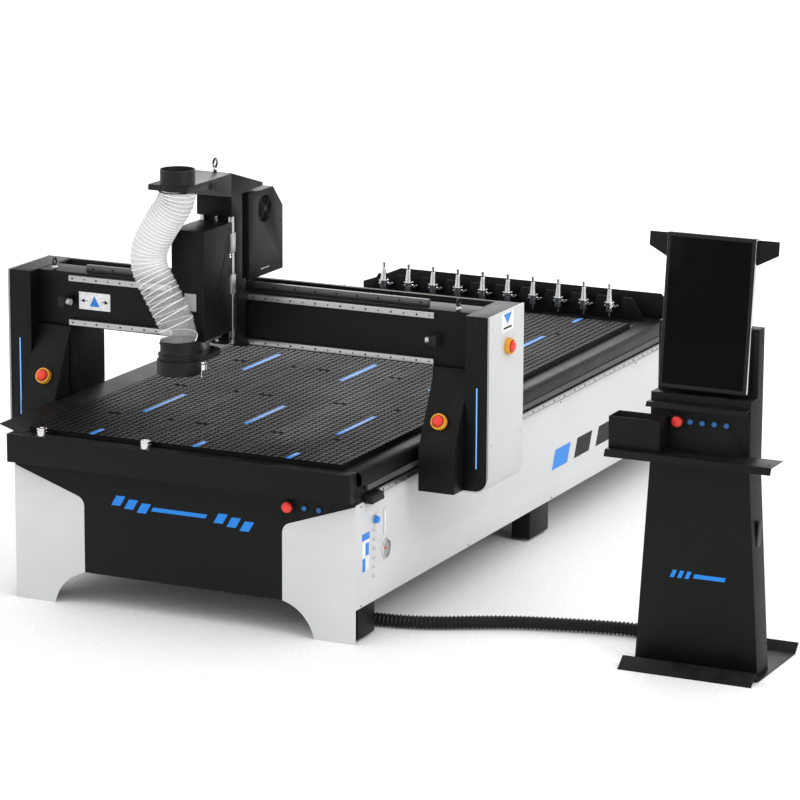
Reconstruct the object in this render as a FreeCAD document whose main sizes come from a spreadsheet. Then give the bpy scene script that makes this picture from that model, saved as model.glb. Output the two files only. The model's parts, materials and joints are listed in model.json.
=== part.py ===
import FreeCAD, Part
import math
import os

import Sketcher
from FreeCAD import Placement, Rotation, Vector

# A moving-gantry CNC router for sheet material, with its operator console.
# X runs along the gantry, Y from the front of the bed to the back, Z up from the floor.
# Sizes are given from the bed's own datum: X = 0 on its middle line, Y = 0 at the white
# front panels, Z = 0 on the floor. Every node is then shifted so that the row's origin
# is the bottom centre of the whole object, gantry and console included.

SIZES = [
    # bed
    ("bed_half", 820, "half width over the side panels"),
    ("bed_long", 3900, "bed length, front panel to rear panel"),
    ("sheet_wall", 3, "sheet metal thickness"),
    ("panel_low", 148, "underside of the side panels and frame ties"),
    ("beam_low", 600, "underside of the long side beams"),
    ("beam_top", 678, "top of the long side beams"),
    ("beam_wide", 80, "width of the long side beams"),
    ("leg_wide", 91, "leg width across the bed"),
    ("leg_low", 13, "underside of the legs"),
    ("leg_start", 30, "front leg, distance from the front"),
    ("leg_long", 159, "end legs, length along the bed"),
    ("mid_leg_start", 1813, "front of the middle legs"),
    ("mid_leg_long", 212, "middle legs, length along the bed"),
    ("foot_radius", 24, "levelling foot radius"),
    # front
    ("leg_panel_top", 595, "outer height of the white front panels"),
    ("leg_panel_in", 477, "inner edge of the white front panels"),
    ("leg_panel_shoulder", 478, "height of the inner shoulder"),
    ("shoulder_radius", 45, "shoulder rounding"),
    ("arch_top", 151, "height of the arch under the front"),
    ("arch_radius", 195, "arch cut radius"),
    ("arch_x", 435, "arch centre from the middle"),
    ("arch_z", -40, "arch centre height"),
    ("apron_front", -59, "front of the apron"),
    ("apron_back", 12, "back of the apron"),
    ("apron_low", 617, "bottom of the apron"),
    ("apron_top", 742, "top of the apron and of the side ledges"),
    ("apron_half", 821, "half width of the apron"),
    # table
    ("table_half", 750, "half width of the vacuum table"),
    ("table_start", 15, "front edge of the vacuum table"),
    ("table_end", 3150, "rear edge of the vacuum table"),
    ("table_top", 765, "working surface"),
    ("table_board", 40, "thickness of the grid board"),
    ("inlay_wide", 24, "width of the blue strips"),
    ("inlay_deep", 10, "depth of the blue strips"),
    ("inlay_long", 364, "length of the long blue strips"),
    ("inlay_short", 100, "length of the short end strips"),
    ("ledge_out", 840, "outer face of the side ledges"),
    ("ledge_radius", 25, "rounding of the side ledges"),
    ("tray_out", 876, "outer edge of the scrap tray"),
    ("tray_rise", 30, "rise of the scrap tray"),
    # Y drive
    ("y_rail_start", 184, "front end of the long rails"),
    ("y_rail_end", 3845, "rear end of the long rails and racks"),
    ("y_rail_low", 613, "underside of the long rails"),
    ("y_rail_tall", 27, "height of the long rails"),
    ("y_rail_deep", 23, "depth of the long rails"),
    ("y_rack_start", 80, "front end of the long racks"),
    ("y_rack_low", 652, "underside of the long racks"),
    ("y_rack_tall", 25, "height of the long racks"),
    ("y_rack_deep", 22, "depth of the long racks to the pitch line"),
    ("slide_gap", 0.5, "running clearance of the bearing blocks"),
    ("mesh_gap", 0.3, "clearance between a pinion and its rack"),
    ("pinion_radius", 18, "pinion pitch radius"),
    ("pinion_shaft", 6, "pinion shaft radius"),
    ("block_long", 90, "length of the long bearing blocks"),
    # gantry
    ("gantry_front", 550, "front of the end boxes"),
    ("gantry_back", 906, "rear of the gantry"),
    ("beam_front", 620, "front face of the gantry beam"),
    ("cover_half", 1171.5, "half width over the white end covers"),
    ("cover_wall", 8, "thickness of the white end covers"),
    ("cover_low", 559, "bottom of the white end covers"),
    ("cover_top", 1324, "top of the end covers"),
    ("cover_radius", 65, "bottom rounding of the end covers"),
    ("cover_in", 1040, "inner end of the cover's bottom lip"),
    ("end_box_in", 1057, "inner face of the end boxes"),
    ("column_in", 884, "inner face of the columns"),
    ("column_front", 604, "front face of the columns"),
    ("column_back", 900, "rear face of the columns"),
    ("gantry_beam_low", 1078, "underside of the gantry beam"),
    ("gantry_beam_top", 1320, "top of the gantry beam"),
    ("slot_half", 1045, "half length of the cable slot"),
    ("slot_front", 768, "front of the cable slot"),
    ("slot_back", 884, "rear of the cable slot"),
    ("slot_low", 1200, "floor of the cable slot"),
    ("wing_in", 890, "inner side of the sloped front covers"),
    ("wing_out", 1056, "outer side of the sloped front covers"),
    ("wing_front", 455, "front of the sloped covers"),
    ("wing_top", 1060, "top of the sloped covers"),
    ("wing_break", 752, "where the slope ends"),
    ("wing_low", 568, "bottom of the sloped covers"),
    # X drive
    ("x_rail_half", 890, "half length of the cross rails"),
    ("x_rail_deep", 22, "depth of the cross rails"),
    ("x_rail_tall", 25, "height of the cross rails"),
    ("x_rail_upper", 1284, "underside of the upper cross rail"),
    ("x_rail_lower", 1086, "underside of the lower cross rail"),
    ("x_rack_half", 835, "half length of the cross rack"),
    ("x_rack_front", 660, "front of the cross rack"),
    ("x_rack_back", 685, "toothed face of the cross rack"),
    ("x_rack_top", 1350, "top of the cross rack"),
    ("bump_tip", 865, "tips of the bump stops"),
    ("bump_base", 885, "where the bumpers leave their blocks"),
    ("bump_z", 1195, "height of the bump stops"),
    ("bump_y", 577, "distance of the bump stops from the front"),
    # head
    ("head_x", -78, "middle of the head at rest"),
    ("head_half", 84, "half width of the head"),
    ("plate_front", 546, "front of the carriage plate"),
    ("plate_back", 578, "rear of the carriage plate"),
    ("plate_low", 1090, "bottom of the carriage plate"),
    ("plate_top", 1385, "top of the carriage plate"),
    ("z_column_front", 487, "front of the Z column"),
    ("z_column_low", 1112, "bottom of the Z column"),
    ("z_column_top", 1669, "top of the Z column"),
    ("z_rail_offset", 70, "Z rails from the head's middle"),
    ("z_rail_wide", 20, "width of the Z rails"),
    ("z_rail_deep", 22, "depth of the Z rails"),
    ("z_block_tall", 85, "height of the Z bearing blocks"),
    ("screw_y", 470, "axis of the Z screw"),
    ("screw_radius", 8, "radius of the Z screw"),
    ("screw_gap", 0.4, "radial clearance of the Z screw"),
    ("roof_top", 1860, "front height of the head's roof"),
    ("roof_rear", 738, "rear end of the head's roof"),
    ("roof_rear_top", 1777, "rear height of the head's roof"),
    ("block_top", 1757, "top of the motor block"),
    ("box_front", 609, "front of the electrical box"),
    ("box_back", 926, "rear of the electrical box"),
    ("box_low", 1367, "bottom of the electrical box"),
    ("box_top", 1744, "top of the electrical box"),
    ("box_slope_y", 835, "where the box's rear slope starts"),
    ("box_slope_z", 1648, "where the box's rear slope ends"),
    ("box_wall", 2, "wall of the electrical box"),
    ("fan_y", 759, "fan axis"),
    ("fan_z", 1657, "fan axis height"),
    ("fan_radius", 59, "fan opening radius"),
    # spindle and dust collection
    ("spindle_y", 330, "spindle axis"),
    ("spindle_low", 1155, "bottom of the spindle body"),
    ("spindle_top", 1560, "top of the spindle body"),
    ("spindle_half", 60, "half width of the spindle body"),
    ("slide_front", 402, "front of the Z slide plate"),
    ("slide_back", 444, "rear of the Z slide plate"),
    ("nose_radius", 35, "spindle nose radius"),
    ("nose_low", 1060, "end of the spindle nose"),
    ("arbor_radius", 20, "rotor radius inside the nose"),
    ("arbor_gap", 0.05, "radial running clearance of the rotor"),
    ("nut_radius", 25, "collet nut radius"),
    ("bit_radius", 5, "cutter radius"),
    ("bit_tip", 988, "tip of the cutter at rest"),
    ("hood_half", 78, "half width of the spindle cover"),
    ("hood_front", 211, "front of the spindle cover"),
    ("hood_back", 462, "rear edge of the spindle cover"),
    ("hood_low", 1172, "bottom of the spindle cover"),
    ("hood_top", 1645, "top of the spindle cover"),
    ("duct_y", 130, "axis of the dust duct"),
    ("duct_radius", 80, "outer radius of the duct collars"),
    ("duct_wall", 3, "wall of the duct collars"),
    ("outlet_radius", 74, "outer radius of the upper collar above its bracket"),
    ("outlet_long", 62, "height of the upper collar above its bracket"),
    ("bracket_thick", 24, "depth of the bracket's front lip"),
    ("bracket_left", 104, "bracket from the head's axis to its left side"),
    ("bracket_right", 84, "bracket from the head's axis to its right side"),
    ("bracket_reach", 68, "bracket in front of the collar's axis"),
    ("bracket_eye_radius", 13, "radius of the hole in the bracket's right side"),
    ("roof_lead", 20, "front of the roof ahead of the Z screw"),
    ("hose_lap", 8, "how far the hose laps the upper collar"),
    ("spigot_low", 1826, "lower end of the upper collar"),
    ("spigot_top", 1921, "upper end of the upper collar"),
    ("collar_top", 1190, "upper end of the lower collar"),
    ("shoe_low", 1047, "underside of the dust shoe"),
    ("shoe_top", 1108, "top of the dust shoe"),
    ("shoe_radius", 94, "radius of the dust shoe"),
    ("hose_reach", 145, "how far the hose bows sideways"),
    ("hose_kink", 1490, "height of the hose's bow"),
    # tool rack
    ("tool_y", 3280, "row of tool holders"),
    ("tool_first", -637, "first tool holder"),
    ("tool_pitch", 136, "distance between tool holders"),
    ("tool_count", 10, "number of tool holders"),
    ("tool_flange", 814, "middle of the tool flanges"),
    ("flange_radius", 25, "tool flange radius"),
    ("fork_gap", 0.5, "clearance between a fork and its tool"),
    ("rack_plate_half", 690, "half length of the tool rack"),
    ("fence_y", 3420, "rear fence"),
    ("fence_top", 866, "top of the rear fence"),
    # console
    ("console_x", 2216, "middle of the console"),
    ("column_half", 215, "half width of the console column"),
    ("column_foot", 268, "half width of the column at the floor"),
    ("column_face", 300, "front face of the console column"),
    ("column_toe", 311, "front of the column at the floor"),
    ("column_rear", 433, "rear face of the console column"),
    ("column_taper", 850, "height where the taper ends"),
    ("column_shoulder", 1150, "top of the column's front part"),
    ("column_cap", 1430, "top of the column's rear part"),
    ("mast_face", 375, "front face of the column's rear part"),
    ("base_half", 291, "half width of the console base"),
    ("base_front", 175, "front of the console base"),
    ("base_back", 742, "rear of the console base"),
    ("base_wall", 4, "thickness of the console base"),
    ("shelf_half", 357, "half width of the keyboard shelf"),
    ("shelf_front", 150, "front lip of the keyboard shelf"),
    ("shelf_top", 924, "top of the keyboard shelf"),
    ("ledge_half", 216, "half width of the small ledge"),
    ("ledge_front", 240, "front of the small ledge"),
    ("ledge_top", 1118, "top of the small ledge"),
    ("bin_left", -353, "left side of the holder box"),
    ("bin_right", -131, "right side of the holder box"),
    ("bin_front", 190, "front of the holder box"),
    ("bin_top", 1057, "rim of the holder box"),
    ("screen_half", 189, "half width of the monitor"),
    ("screen_tall", 628, "height of the monitor"),
    ("screen_deep", 30, "thickness of the monitor"),
    ("screen_y", 307, "bottom front edge of the monitor"),
    ("screen_z", 1171, "height of that edge"),
    ("screen_lean", 6.76, "lean of the monitor from upright, degrees"),
    ("mount_wall", 6, "thickness of the monitor plate"),
    ("mount_half", 277, "half width over the monitor plate's wings"),
    # controls
    ("stop_radius", 23.5, "emergency button head radius"),
    ("stop_stem", 9, "emergency button stem radius"),
    ("ring_radius", 35, "yellow shroud outer radius"),
    ("ring_wall", 8, "yellow shroud wall"),
    ("ring_tall", 22, "yellow shroud height"),
    ("press_radius", 11, "push button radius"),
    ("press_gap", 0.5, "clearance round buttons and stems"),
    ("side_stop_y", 735, "side emergency button from the front"),
    ("side_stop_z", 1169, "side emergency button height"),
    ("wing_stop_x", 965, "sloped cover emergency buttons from the middle"),
    ("wing_stop_z", 858, "sloped cover emergency buttons height"),
    ("front_row_z", 562, "height of the front controls"),
    ("front_stop_x", 508, "front stop button"),
    ("front_press_x", 581, "first front push button"),
    ("front_press_step", 68, "distance between the front push buttons"),
    ("desk_row_z", 1041, "height of the console controls"),
    ("desk_stop_x", -93, "console stop button from the console's middle"),
    ("desk_press_x", -42, "first console push button"),
    ("desk_press_step", 52, "distance between the console push buttons"),
    ("knob_y", 175, "selector knob from the front"),
    ("knob_z", 503, "selector knob height"),
    ("knob_radius", 17, "selector knob radius"),
    ("pin_first", -663, "first location pin"),
    ("pin_second", -157, "second location pin"),
    ("pin_y", -28, "location pins from the front"),
    ("pin_radius", 22, "location pin radius"),
    ("pin_rise", 36, "how far the pins stand up"),
    ("pin_drop", 34, "travel of the pins"),
    # conduit
    ("conduit_radius", 29, "outer radius of the cable conduit"),
    ("conduit_z", 30, "height of the conduit's axis"),
    ("gland_long", 34, "length of the conduit glands"),
]

doc = FreeCAD.newDocument("cnc_router")
sheet = doc.addObject("Spreadsheet::Sheet", "dim")
for row, (alias, value, meaning) in enumerate(SIZES, start=1):
    sheet.set(f"A{row}", meaning)
    sheet.set(f"B{row}", str(value))
    sheet.setAlias(f"B{row}", alias)
doc.recompute()


def size(alias):
    """A driving size as a number."""
    return float(sheet.get(alias))


# The row's origin: the middle of the floor rectangle that the object covers.
ORIGIN_X = "(dim.console_x + dim.shelf_half - dim.cover_half) / 2"
ORIGIN_Y = "(dim.bed_long + dim.apron_front) / 2"

PLANE_AXES = {"XY_Plane": (0, 1), "XZ_Plane": (0, 2), "YZ_Plane": (1, 2)}
AXIS_VECTORS = {"X": Vector(1, 0, 0), "Y": Vector(0, 1, 0), "Z": Vector(0, 0, 1)}
SIDES = (("left", -1), ("right", 1))
nodes = []


# ---------------------------------------------------------------- building blocks
def place(thing, x, y, z):
    """Ties an object's position to expressions."""
    for letter, value in zip("xyz", (x, y, z)):
        thing.setExpression(f"Placement.Base.{letter}", str(value))
    return thing


def box(name, x, y, z):
    """A block between two planes on each axis, each pair given low, then high."""
    block = doc.addObject("Part::Box", name)
    for side, (low, high) in zip(("Length", "Width", "Height"), (x, y, z)):
        block.setExpression(side, f"({high}) - ({low})")
    return place(block, x[0], y[0], z[0])


def rod(name, radius, start, length, axis="Z"):
    """A cylinder that starts at a point and runs along a direction."""
    bar = doc.addObject("Part::Cylinder", name)
    bar.setExpression("Radius", str(radius))
    bar.setExpression("Height", str(length))
    direction = AXIS_VECTORS[axis] if isinstance(axis, str) else axis
    bar.Placement = Placement(Vector(), Rotation(Vector(0, 0, 1), direction))
    return place(bar, *start)


def cut(name, base, *tools):
    """The base with the tools taken away."""
    result = doc.addObject("Part::Cut", name)
    result.Base = base
    result.Tool = tools[0] if len(tools) == 1 else fuse(f"{name}_tools", *tools)
    return result


def fuse(name, *shapes):
    """Several shapes joined into one."""
    result = doc.addObject("Part::MultiFuse", name)
    result.Shapes = list(shapes)
    return result


def pipe(name, radius, wall, start, length, axis="Z"):
    """A straight round tube."""
    outer = rod(f"{name}_outer", radius, start, length, axis)
    inner = rod(f"{name}_inner", f"({radius}) - ({wall})", start, length, axis)
    return cut(name, outer, inner)


def outline(body, plane, points):
    """A closed sketch through points given as pairs of expressions."""
    sketch = body.newObject("Sketcher::SketchObject", f"{body.Name}_profile")
    origin_plane = [item for item in body.Origin.OriginFeatures if item.Role == plane][0]
    sketch.AttachmentSupport = [(origin_plane, "")]
    sketch.MapMode = "FlatFace"
    count = len(points)
    ring = [2 * math.pi * index / count for index in range(count)]
    guess = [Vector(math.cos(angle), math.sin(angle), 0) * 100 for angle in ring]
    for index in range(count):
        sketch.addGeometry(Part.LineSegment(guess[index], guess[(index + 1) % count]), False)
    for index in range(count):
        follower = (index + 1) % count
        sketch.addConstraint(Sketcher.Constraint("Coincident", index, 2, follower, 1))
    for index, (across, up) in enumerate(points):
        for kind, expression, value in (
            ("DistanceX", across, guess[index].x),
            ("DistanceY", up, guess[index].y),
        ):
            number = sketch.addConstraint(Sketcher.Constraint(kind, -1, 1, index, 1, value))
            sketch.setExpression(f"Constraints[{number}]", str(expression))
    return sketch


def prism(name, plane, points, span):
    """A profile on an origin plane, carried between two positions along the plane's normal."""
    body = doc.addObject("PartDesign::Body", name)
    pad = body.newObject("PartDesign::Pad", f"{name}_pad")
    pad.Profile = outline(body, plane, points)
    body.Tip = pad
    low, high = span
    pad.setExpression("Length", f"({high}) - ({low})")
    if plane == "XZ_Plane":
        return place(body, 0, high, 0)
    if plane == "YZ_Plane":
        return place(body, low, 0, 0)
    return place(body, 0, 0, low)


def round_corners(body, plane, corners, radius):
    """Rounds the edges of a prism that run along it through the given profile corners."""
    doc.recompute()
    across, up = PLANE_AXES[plane]
    before = body.Tip
    shape = before.Shape
    names = []
    for corner in corners:
        def miss(number):
            ends = [vertex.Point for vertex in shape.Edges[number].Vertexes]
            return max(abs(p[across] - corner[0]) + abs(p[up] - corner[1]) for p in ends)
        names.append(f"Edge{min(range(len(shape.Edges)), key=miss) + 1}")
    fillet = body.newObject("PartDesign::Fillet", f"{body.Name}_round")
    fillet.Base = (before, names)
    fillet.setExpression("Radius", str(radius))
    body.Tip = fillet
    return body


def turned(name, points, start, axis="Z"):
    """A profile of radius and height pairs, turned about its own axis and then placed."""
    body = doc.addObject("PartDesign::Body", name)
    revolution = body.newObject("PartDesign::Revolution", f"{name}_turn")
    sketch = outline(body, "XZ_Plane", points)
    revolution.Profile = sketch
    revolution.ReferenceAxis = (sketch, ["V_Axis"])
    revolution.Angle = 360
    body.Tip = revolution
    direction = AXIS_VECTORS[axis] if isinstance(axis, str) else axis
    body.Placement = Placement(Vector(), Rotation(Vector(0, 0, 1), direction))
    return place(body, *start)


def node(name, *solids):
    """One named sub-part: its separate solids, moved into the row's frame."""
    group = doc.addObject("Part::Compound", name)
    group.Label = name
    group.Links = list(solids)
    nodes.append(place(group, f"-({ORIGIN_X})", f"-({ORIGIN_Y})", 0))
    return group


def span(side, inner, outer):
    """The low and high X of something between two distances from the middle, on one side."""
    if side > 0:
        return (f"{inner}", f"{outer}")
    return (f"-({outer})", f"-({inner})")


def mirrored(side, points):
    """Profile points given for the right side, mirrored for the left."""
    if side > 0:
        return points
    return [(f"-({across})", up) for across, up in points]


# ---------------------------------------------------------------- bed
def leg_stations():
    """Front and length of each pair of legs."""
    yield "dim.leg_start", "dim.leg_long"
    yield "dim.mid_leg_start", "dim.mid_leg_long"
    yield "dim.bed_long - dim.leg_start - dim.leg_long", "dim.leg_long"


def make_frame():
    """Long side beams on three pairs of legs, with cross beams and floor-level ties."""
    members = []
    feet = []
    inner = "dim.bed_half - dim.beam_wide"
    leg_out = "dim.bed_half - dim.sheet_wall - 1"
    leg_in = f"{leg_out} - dim.leg_wide"
    for word, side in SIDES:
        members.append(
            box(f"side_beam_{word}", span(side, inner, "dim.bed_half"),
                ("dim.apron_back", "dim.bed_long - dim.sheet_wall"),
                ("dim.beam_low", "dim.beam_top"))
        )
        for number, (start, length) in enumerate(leg_stations()):
            members.append(
                box(f"leg_{word}_{number}", span(side, leg_in, leg_out),
                    (start, f"{start} + {length}"), ("dim.leg_low", "dim.beam_low"))
            )
            middle = f"({leg_in}) + dim.leg_wide / 2"
            x = middle if side > 0 else f"-({middle})"
            y = f"{start} + {length} / 2"
            plate = [("0", "0"), ("dim.foot_radius", "0"), ("dim.foot_radius", "7"),
                     ("8", "dim.leg_low"), ("0", "dim.leg_low")]
            feet.append(turned(f"foot_{word}_{number}", plate, (x, y, "0")))
    for number, (start, length) in enumerate(leg_stations()):
        members.append(
            box(f"tie_{number}", (f"-({leg_in})", leg_in),
                (f"{start} + {length} / 2 - 40", f"{start} + {length} / 2 + 40"),
                ("dim.panel_low", "dim.panel_low + 80"))
        )
    crossings = 6
    for number in range(crossings):
        middle = f"120 + (dim.bed_long - 240) * {number} / {crossings - 1}"
        members.append(
            box(f"cross_beam_{number}", (f"-({inner})", inner),
                (f"{middle} - 40", f"{middle} + 40"), ("dim.beam_low", "dim.beam_top"))
        )
    node("bed_frame", *members, *feet)


def make_front():
    """White corner panels with an arch between their feet, the dark panel behind and the apron."""
    panels = []
    for word, side in SIDES:
        corners = [
            ("dim.leg_panel_in", "0"), ("dim.bed_half", "0"), ("dim.bed_half", "dim.leg_panel_top"),
            ("dim.leg_panel_in", "dim.leg_panel_shoulder"),
        ]
        sheet_body = prism(f"leg_panel_{word}", "XZ_Plane", mirrored(side, corners),
                           ("0", "dim.sheet_wall"))
        shoulder = (side * size("leg_panel_in"), size("leg_panel_shoulder"))
        round_corners(sheet_body, "XZ_Plane", [shoulder], "dim.shoulder_radius")
        arch = rod(f"arch_{word}", "dim.arch_radius",
                   (f"{side} * dim.arch_x", "-5", "dim.arch_z"), "20", "Y")
        panels.append(cut(f"leg_panel_cut_{word}", sheet_body, arch))
    node("leg_panels", *panels)

    half = "dim.bed_half - dim.sheet_wall"
    dark = box("dark_panel", (f"-({half})", half), ("dim.sheet_wall", "dim.sheet_wall * 2"),
               ("dim.arch_top", "dim.apron_low"))
    holes = [rod("front_stop_hole", "dim.stop_stem + dim.press_gap",
                 ("dim.front_stop_x", "-5", "dim.front_row_z"), "20", "Y")]
    for number in range(2):
        x = f"dim.front_press_x + {number} * dim.front_press_step"
        holes.append(rod(f"front_press_hole_{number}", "dim.press_radius + dim.press_gap",
                         (x, "-5", "dim.front_row_z"), "20", "Y"))
    node("centre_front_panel", cut("dark_panel_cut", dark, *holes))

    wall = "dim.sheet_wall"
    outer = box("apron_outer", ("-dim.apron_half", "dim.apron_half"),
                ("dim.apron_front", "dim.apron_back"), ("dim.apron_low", "dim.apron_top"))
    hollow = box("apron_hollow", (f"-dim.apron_half + {wall}", f"dim.apron_half - {wall}"),
                 (f"dim.apron_front + {wall}", "dim.apron_back + 5"),
                 (f"dim.apron_low + {wall}", f"dim.apron_top - {wall}"))
    bores = []
    housings = []
    bore = "dim.pin_radius + dim.press_gap"
    floor = "dim.apron_top - dim.sheet_wall - dim.pin_drop - 40"
    for word in ("first", "second"):
        centre = (f"dim.pin_{word}", "dim.pin_y")
        bores.append(rod(f"pin_hole_{word}", bore, (*centre, "dim.apron_top - 20"), "40"))
        shell = rod(f"pin_shell_{word}", f"{bore} + 5", (*centre, floor),
                    f"dim.apron_top - dim.sheet_wall - ({floor})")
        room = rod(f"pin_room_{word}", bore, (*centre, f"{floor} + 4"), "200")
        housings.append(cut(f"pin_housing_{word}", shell, room))
    node("apron", cut("apron_shell", outer, hollow, *bores), *housings)
    pins = []
    for word in ("first", "second"):
        low = "dim.apron_top - dim.sheet_wall - 30"
        profile = [("0", "0"), ("dim.pin_radius", "0"),
                   ("dim.pin_radius", f"dim.apron_top + dim.pin_rise - 4 - ({low})"),
                   ("dim.pin_radius - 4", f"dim.apron_top + dim.pin_rise - ({low})"),
                   ("0", f"dim.apron_top + dim.pin_rise - ({low})")]
        pins.append(turned(f"pin_{word}", profile, (f"dim.pin_{word}", "dim.pin_y", low)))
    node("location_pins", *pins)


def make_panels():
    """Side and rear skins, and the fittings set in the right-hand skin."""
    wall = "dim.sheet_wall"
    skins = []
    gauge_hole = rod("gauge_hole", "40", ("dim.bed_half - 10", "294", "348"), "20", "X")
    knob_hole = rod("knob_hole", "6.5", ("dim.bed_half - 10", "dim.knob_y", "dim.knob_z"), "20", "X")
    for word, side in SIDES:
        skin = box(f"skin_{word}", span(side, f"dim.bed_half - {wall}", "dim.bed_half"),
                   (wall, f"dim.bed_long - {wall}"), ("dim.panel_low", "dim.beam_low"))
        skins.append(cut("skin_right_cut", skin, gauge_hole, knob_hole) if side > 0 else skin)
    half = f"dim.bed_half - {wall}"
    skins.append(box("skin_rear", (f"-({half})", half), (f"dim.bed_long - {wall}", "dim.bed_long"),
                     ("dim.panel_low", "dim.beam_top")))
    node("body_panels", *skins)

    fittings = []
    for number in range(6):
        profile = [("0", "0"), ("8", "0"), ("8", "3"), ("5", "4"), ("5", "9"), ("3", "12"), ("0", "12")]
        height = f"263 + {number} * 39.4"
        fittings.append(turned(f"grease_nipple_{number}", profile,
                               ("dim.bed_half", "166", height), "X"))
    cup = [("0", "-20"), ("39.5", "-20"), ("39.5", "0"), ("44", "0"), ("44", "3"), ("36", "3"),
           ("36", "-14"), ("0", "-14")]
    fittings.append(turned("air_gauge", cup, ("dim.bed_half", "294", "348"), "X"))
    fittings.append(box("level_sight", ("dim.bed_half", "dim.bed_half + 4"), ("264", "284"),
                        ("418", "527")))
    fittings.append(box("grease_plate", ("dim.bed_half", "dim.bed_half + 1"), ("60", "140"),
                        ("270", "480")))
    node("panel_fittings", *fittings)
    profile = [("0", "-dim.sheet_wall - 0.5"), ("6", "-dim.sheet_wall - 0.5"), ("6", "0.5"),
               ("dim.knob_radius", "0.5"),
               ("dim.knob_radius - 2", "22"), ("0", "22")]
    node("selector_knob", turned("knob", profile, ("dim.bed_half", "dim.knob_y", "dim.knob_z"), "X"))


def make_table():
    """The vacuum table: a board on a plenum, with blue strips let into it."""
    half = "dim.table_half"
    board = box("board", (f"-{half}", half), ("dim.table_start", "dim.table_end"),
                ("dim.table_top - dim.table_board", "dim.table_top"))
    plenum = box("plenum", (f"-{half} + 5", f"{half} - 5"),
                 ("dim.table_start + 5", "dim.table_end - 5"),
                 ("dim.beam_top", "dim.table_top - dim.table_board"))
    strips = []
    slots = []
    rows = [("dim.table_start + 2", "dim.inlay_short"), ("485", "dim.inlay_long"),
            ("1406", "dim.inlay_long"), ("2326", "dim.inlay_long"),
            ("dim.table_end - dim.inlay_short - 2", "dim.inlay_short")]
    for column, middle in enumerate((-447, 52, 495)):
        for row_number, (start, length) in enumerate(rows):
            place_x = (f"{middle} - dim.inlay_wide / 2", f"{middle} + dim.inlay_wide / 2")
            place_y = (start, f"{start} + {length}")
            low = "dim.table_top - dim.inlay_deep"
            name = f"{column}_{row_number}"
            strips.append(box(f"strip_{name}", place_x, place_y, (low, "dim.table_top")))
            slots.append(box(f"slot_{name}", place_x, place_y, (low, "dim.table_top + 5")))
    node("vacuum_table", cut("board_cut", board, *slots), plenum)
    node("table_inlays", *strips)


def make_ledges():
    """Rounded ledges beside the table and the scrap tray on the left."""
    ledges = []
    wall = "dim.sheet_wall"
    inner = "dim.table_half + 2"
    for word, side in SIDES:
        corners = [
            (inner, "dim.apron_top"), ("dim.ledge_out", "dim.apron_top"),
            ("dim.ledge_out", "dim.beam_top + 2"), (f"dim.ledge_out - {wall}", "dim.beam_top + 2"),
            (f"dim.ledge_out - {wall}", f"dim.apron_top - {wall}"), (inner, f"dim.apron_top - {wall}"),
        ]
        ledge = prism(f"ledge_{word}", "XZ_Plane", mirrored(side, corners),
                      ("dim.table_start", "dim.bed_long - 20"))
        out, top, thick = size("ledge_out"), size("apron_top"), size("sheet_wall")
        round_corners(ledge, "XZ_Plane", [(side * (out - thick), top - thick)],
                      f"dim.ledge_radius - {wall}")
        round_corners(ledge, "XZ_Plane", [(side * out, top)], "dim.ledge_radius")
        ledges.append(ledge)
    node("side_ledges", *ledges)
    thin = "2"
    corners = [
        ("-dim.table_half - 6", "dim.apron_top"), ("-dim.table_half - 28", "dim.apron_top"),
        ("-dim.tray_out", "dim.apron_top + dim.tray_rise"),
        ("-dim.tray_out + 1", f"dim.apron_top + dim.tray_rise + {thin}"),
        ("-dim.table_half - 28", f"dim.apron_top + {thin}"),
        ("-dim.table_half - 6", f"dim.apron_top + {thin}"),
    ]
    node("scrap_tray", prism("tray", "XZ_Plane", corners, ("dim.apron_front + 30", "dim.tool_y + 40")))


def make_y_rails():
    """Rails, racks and end stops down both sides of the bed."""
    solids = []
    for word, side in SIDES:
        rail_top = "dim.y_rail_low + dim.y_rail_tall"
        solids.append(box(f"y_rail_{word}",
                          span(side, "dim.bed_half", "dim.bed_half + dim.y_rail_deep"),
                          ("dim.y_rail_start", "dim.y_rail_end"), ("dim.y_rail_low", rail_top)))
        solids.append(box(f"y_rack_{word}",
                          span(side, "dim.bed_half", "dim.bed_half + dim.y_rack_deep"),
                          ("dim.y_rack_start", "dim.y_rail_end"),
                          ("dim.y_rack_low", "dim.y_rack_low + dim.y_rack_tall")))
        for end, reach in (("front", ("dim.y_rail_start - 112", "dim.y_rail_start")),
                           ("rear", ("dim.y_rail_end", "dim.y_rail_end + 44"))):
            solids.append(box(f"stop_{end}_{word}", span(side, "dim.bed_half", "dim.bed_half + 46"),
                              reach, ("dim.y_rail_low - 24", "dim.y_rail_low + 20")))
    node("y_rails", *solids)


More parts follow.
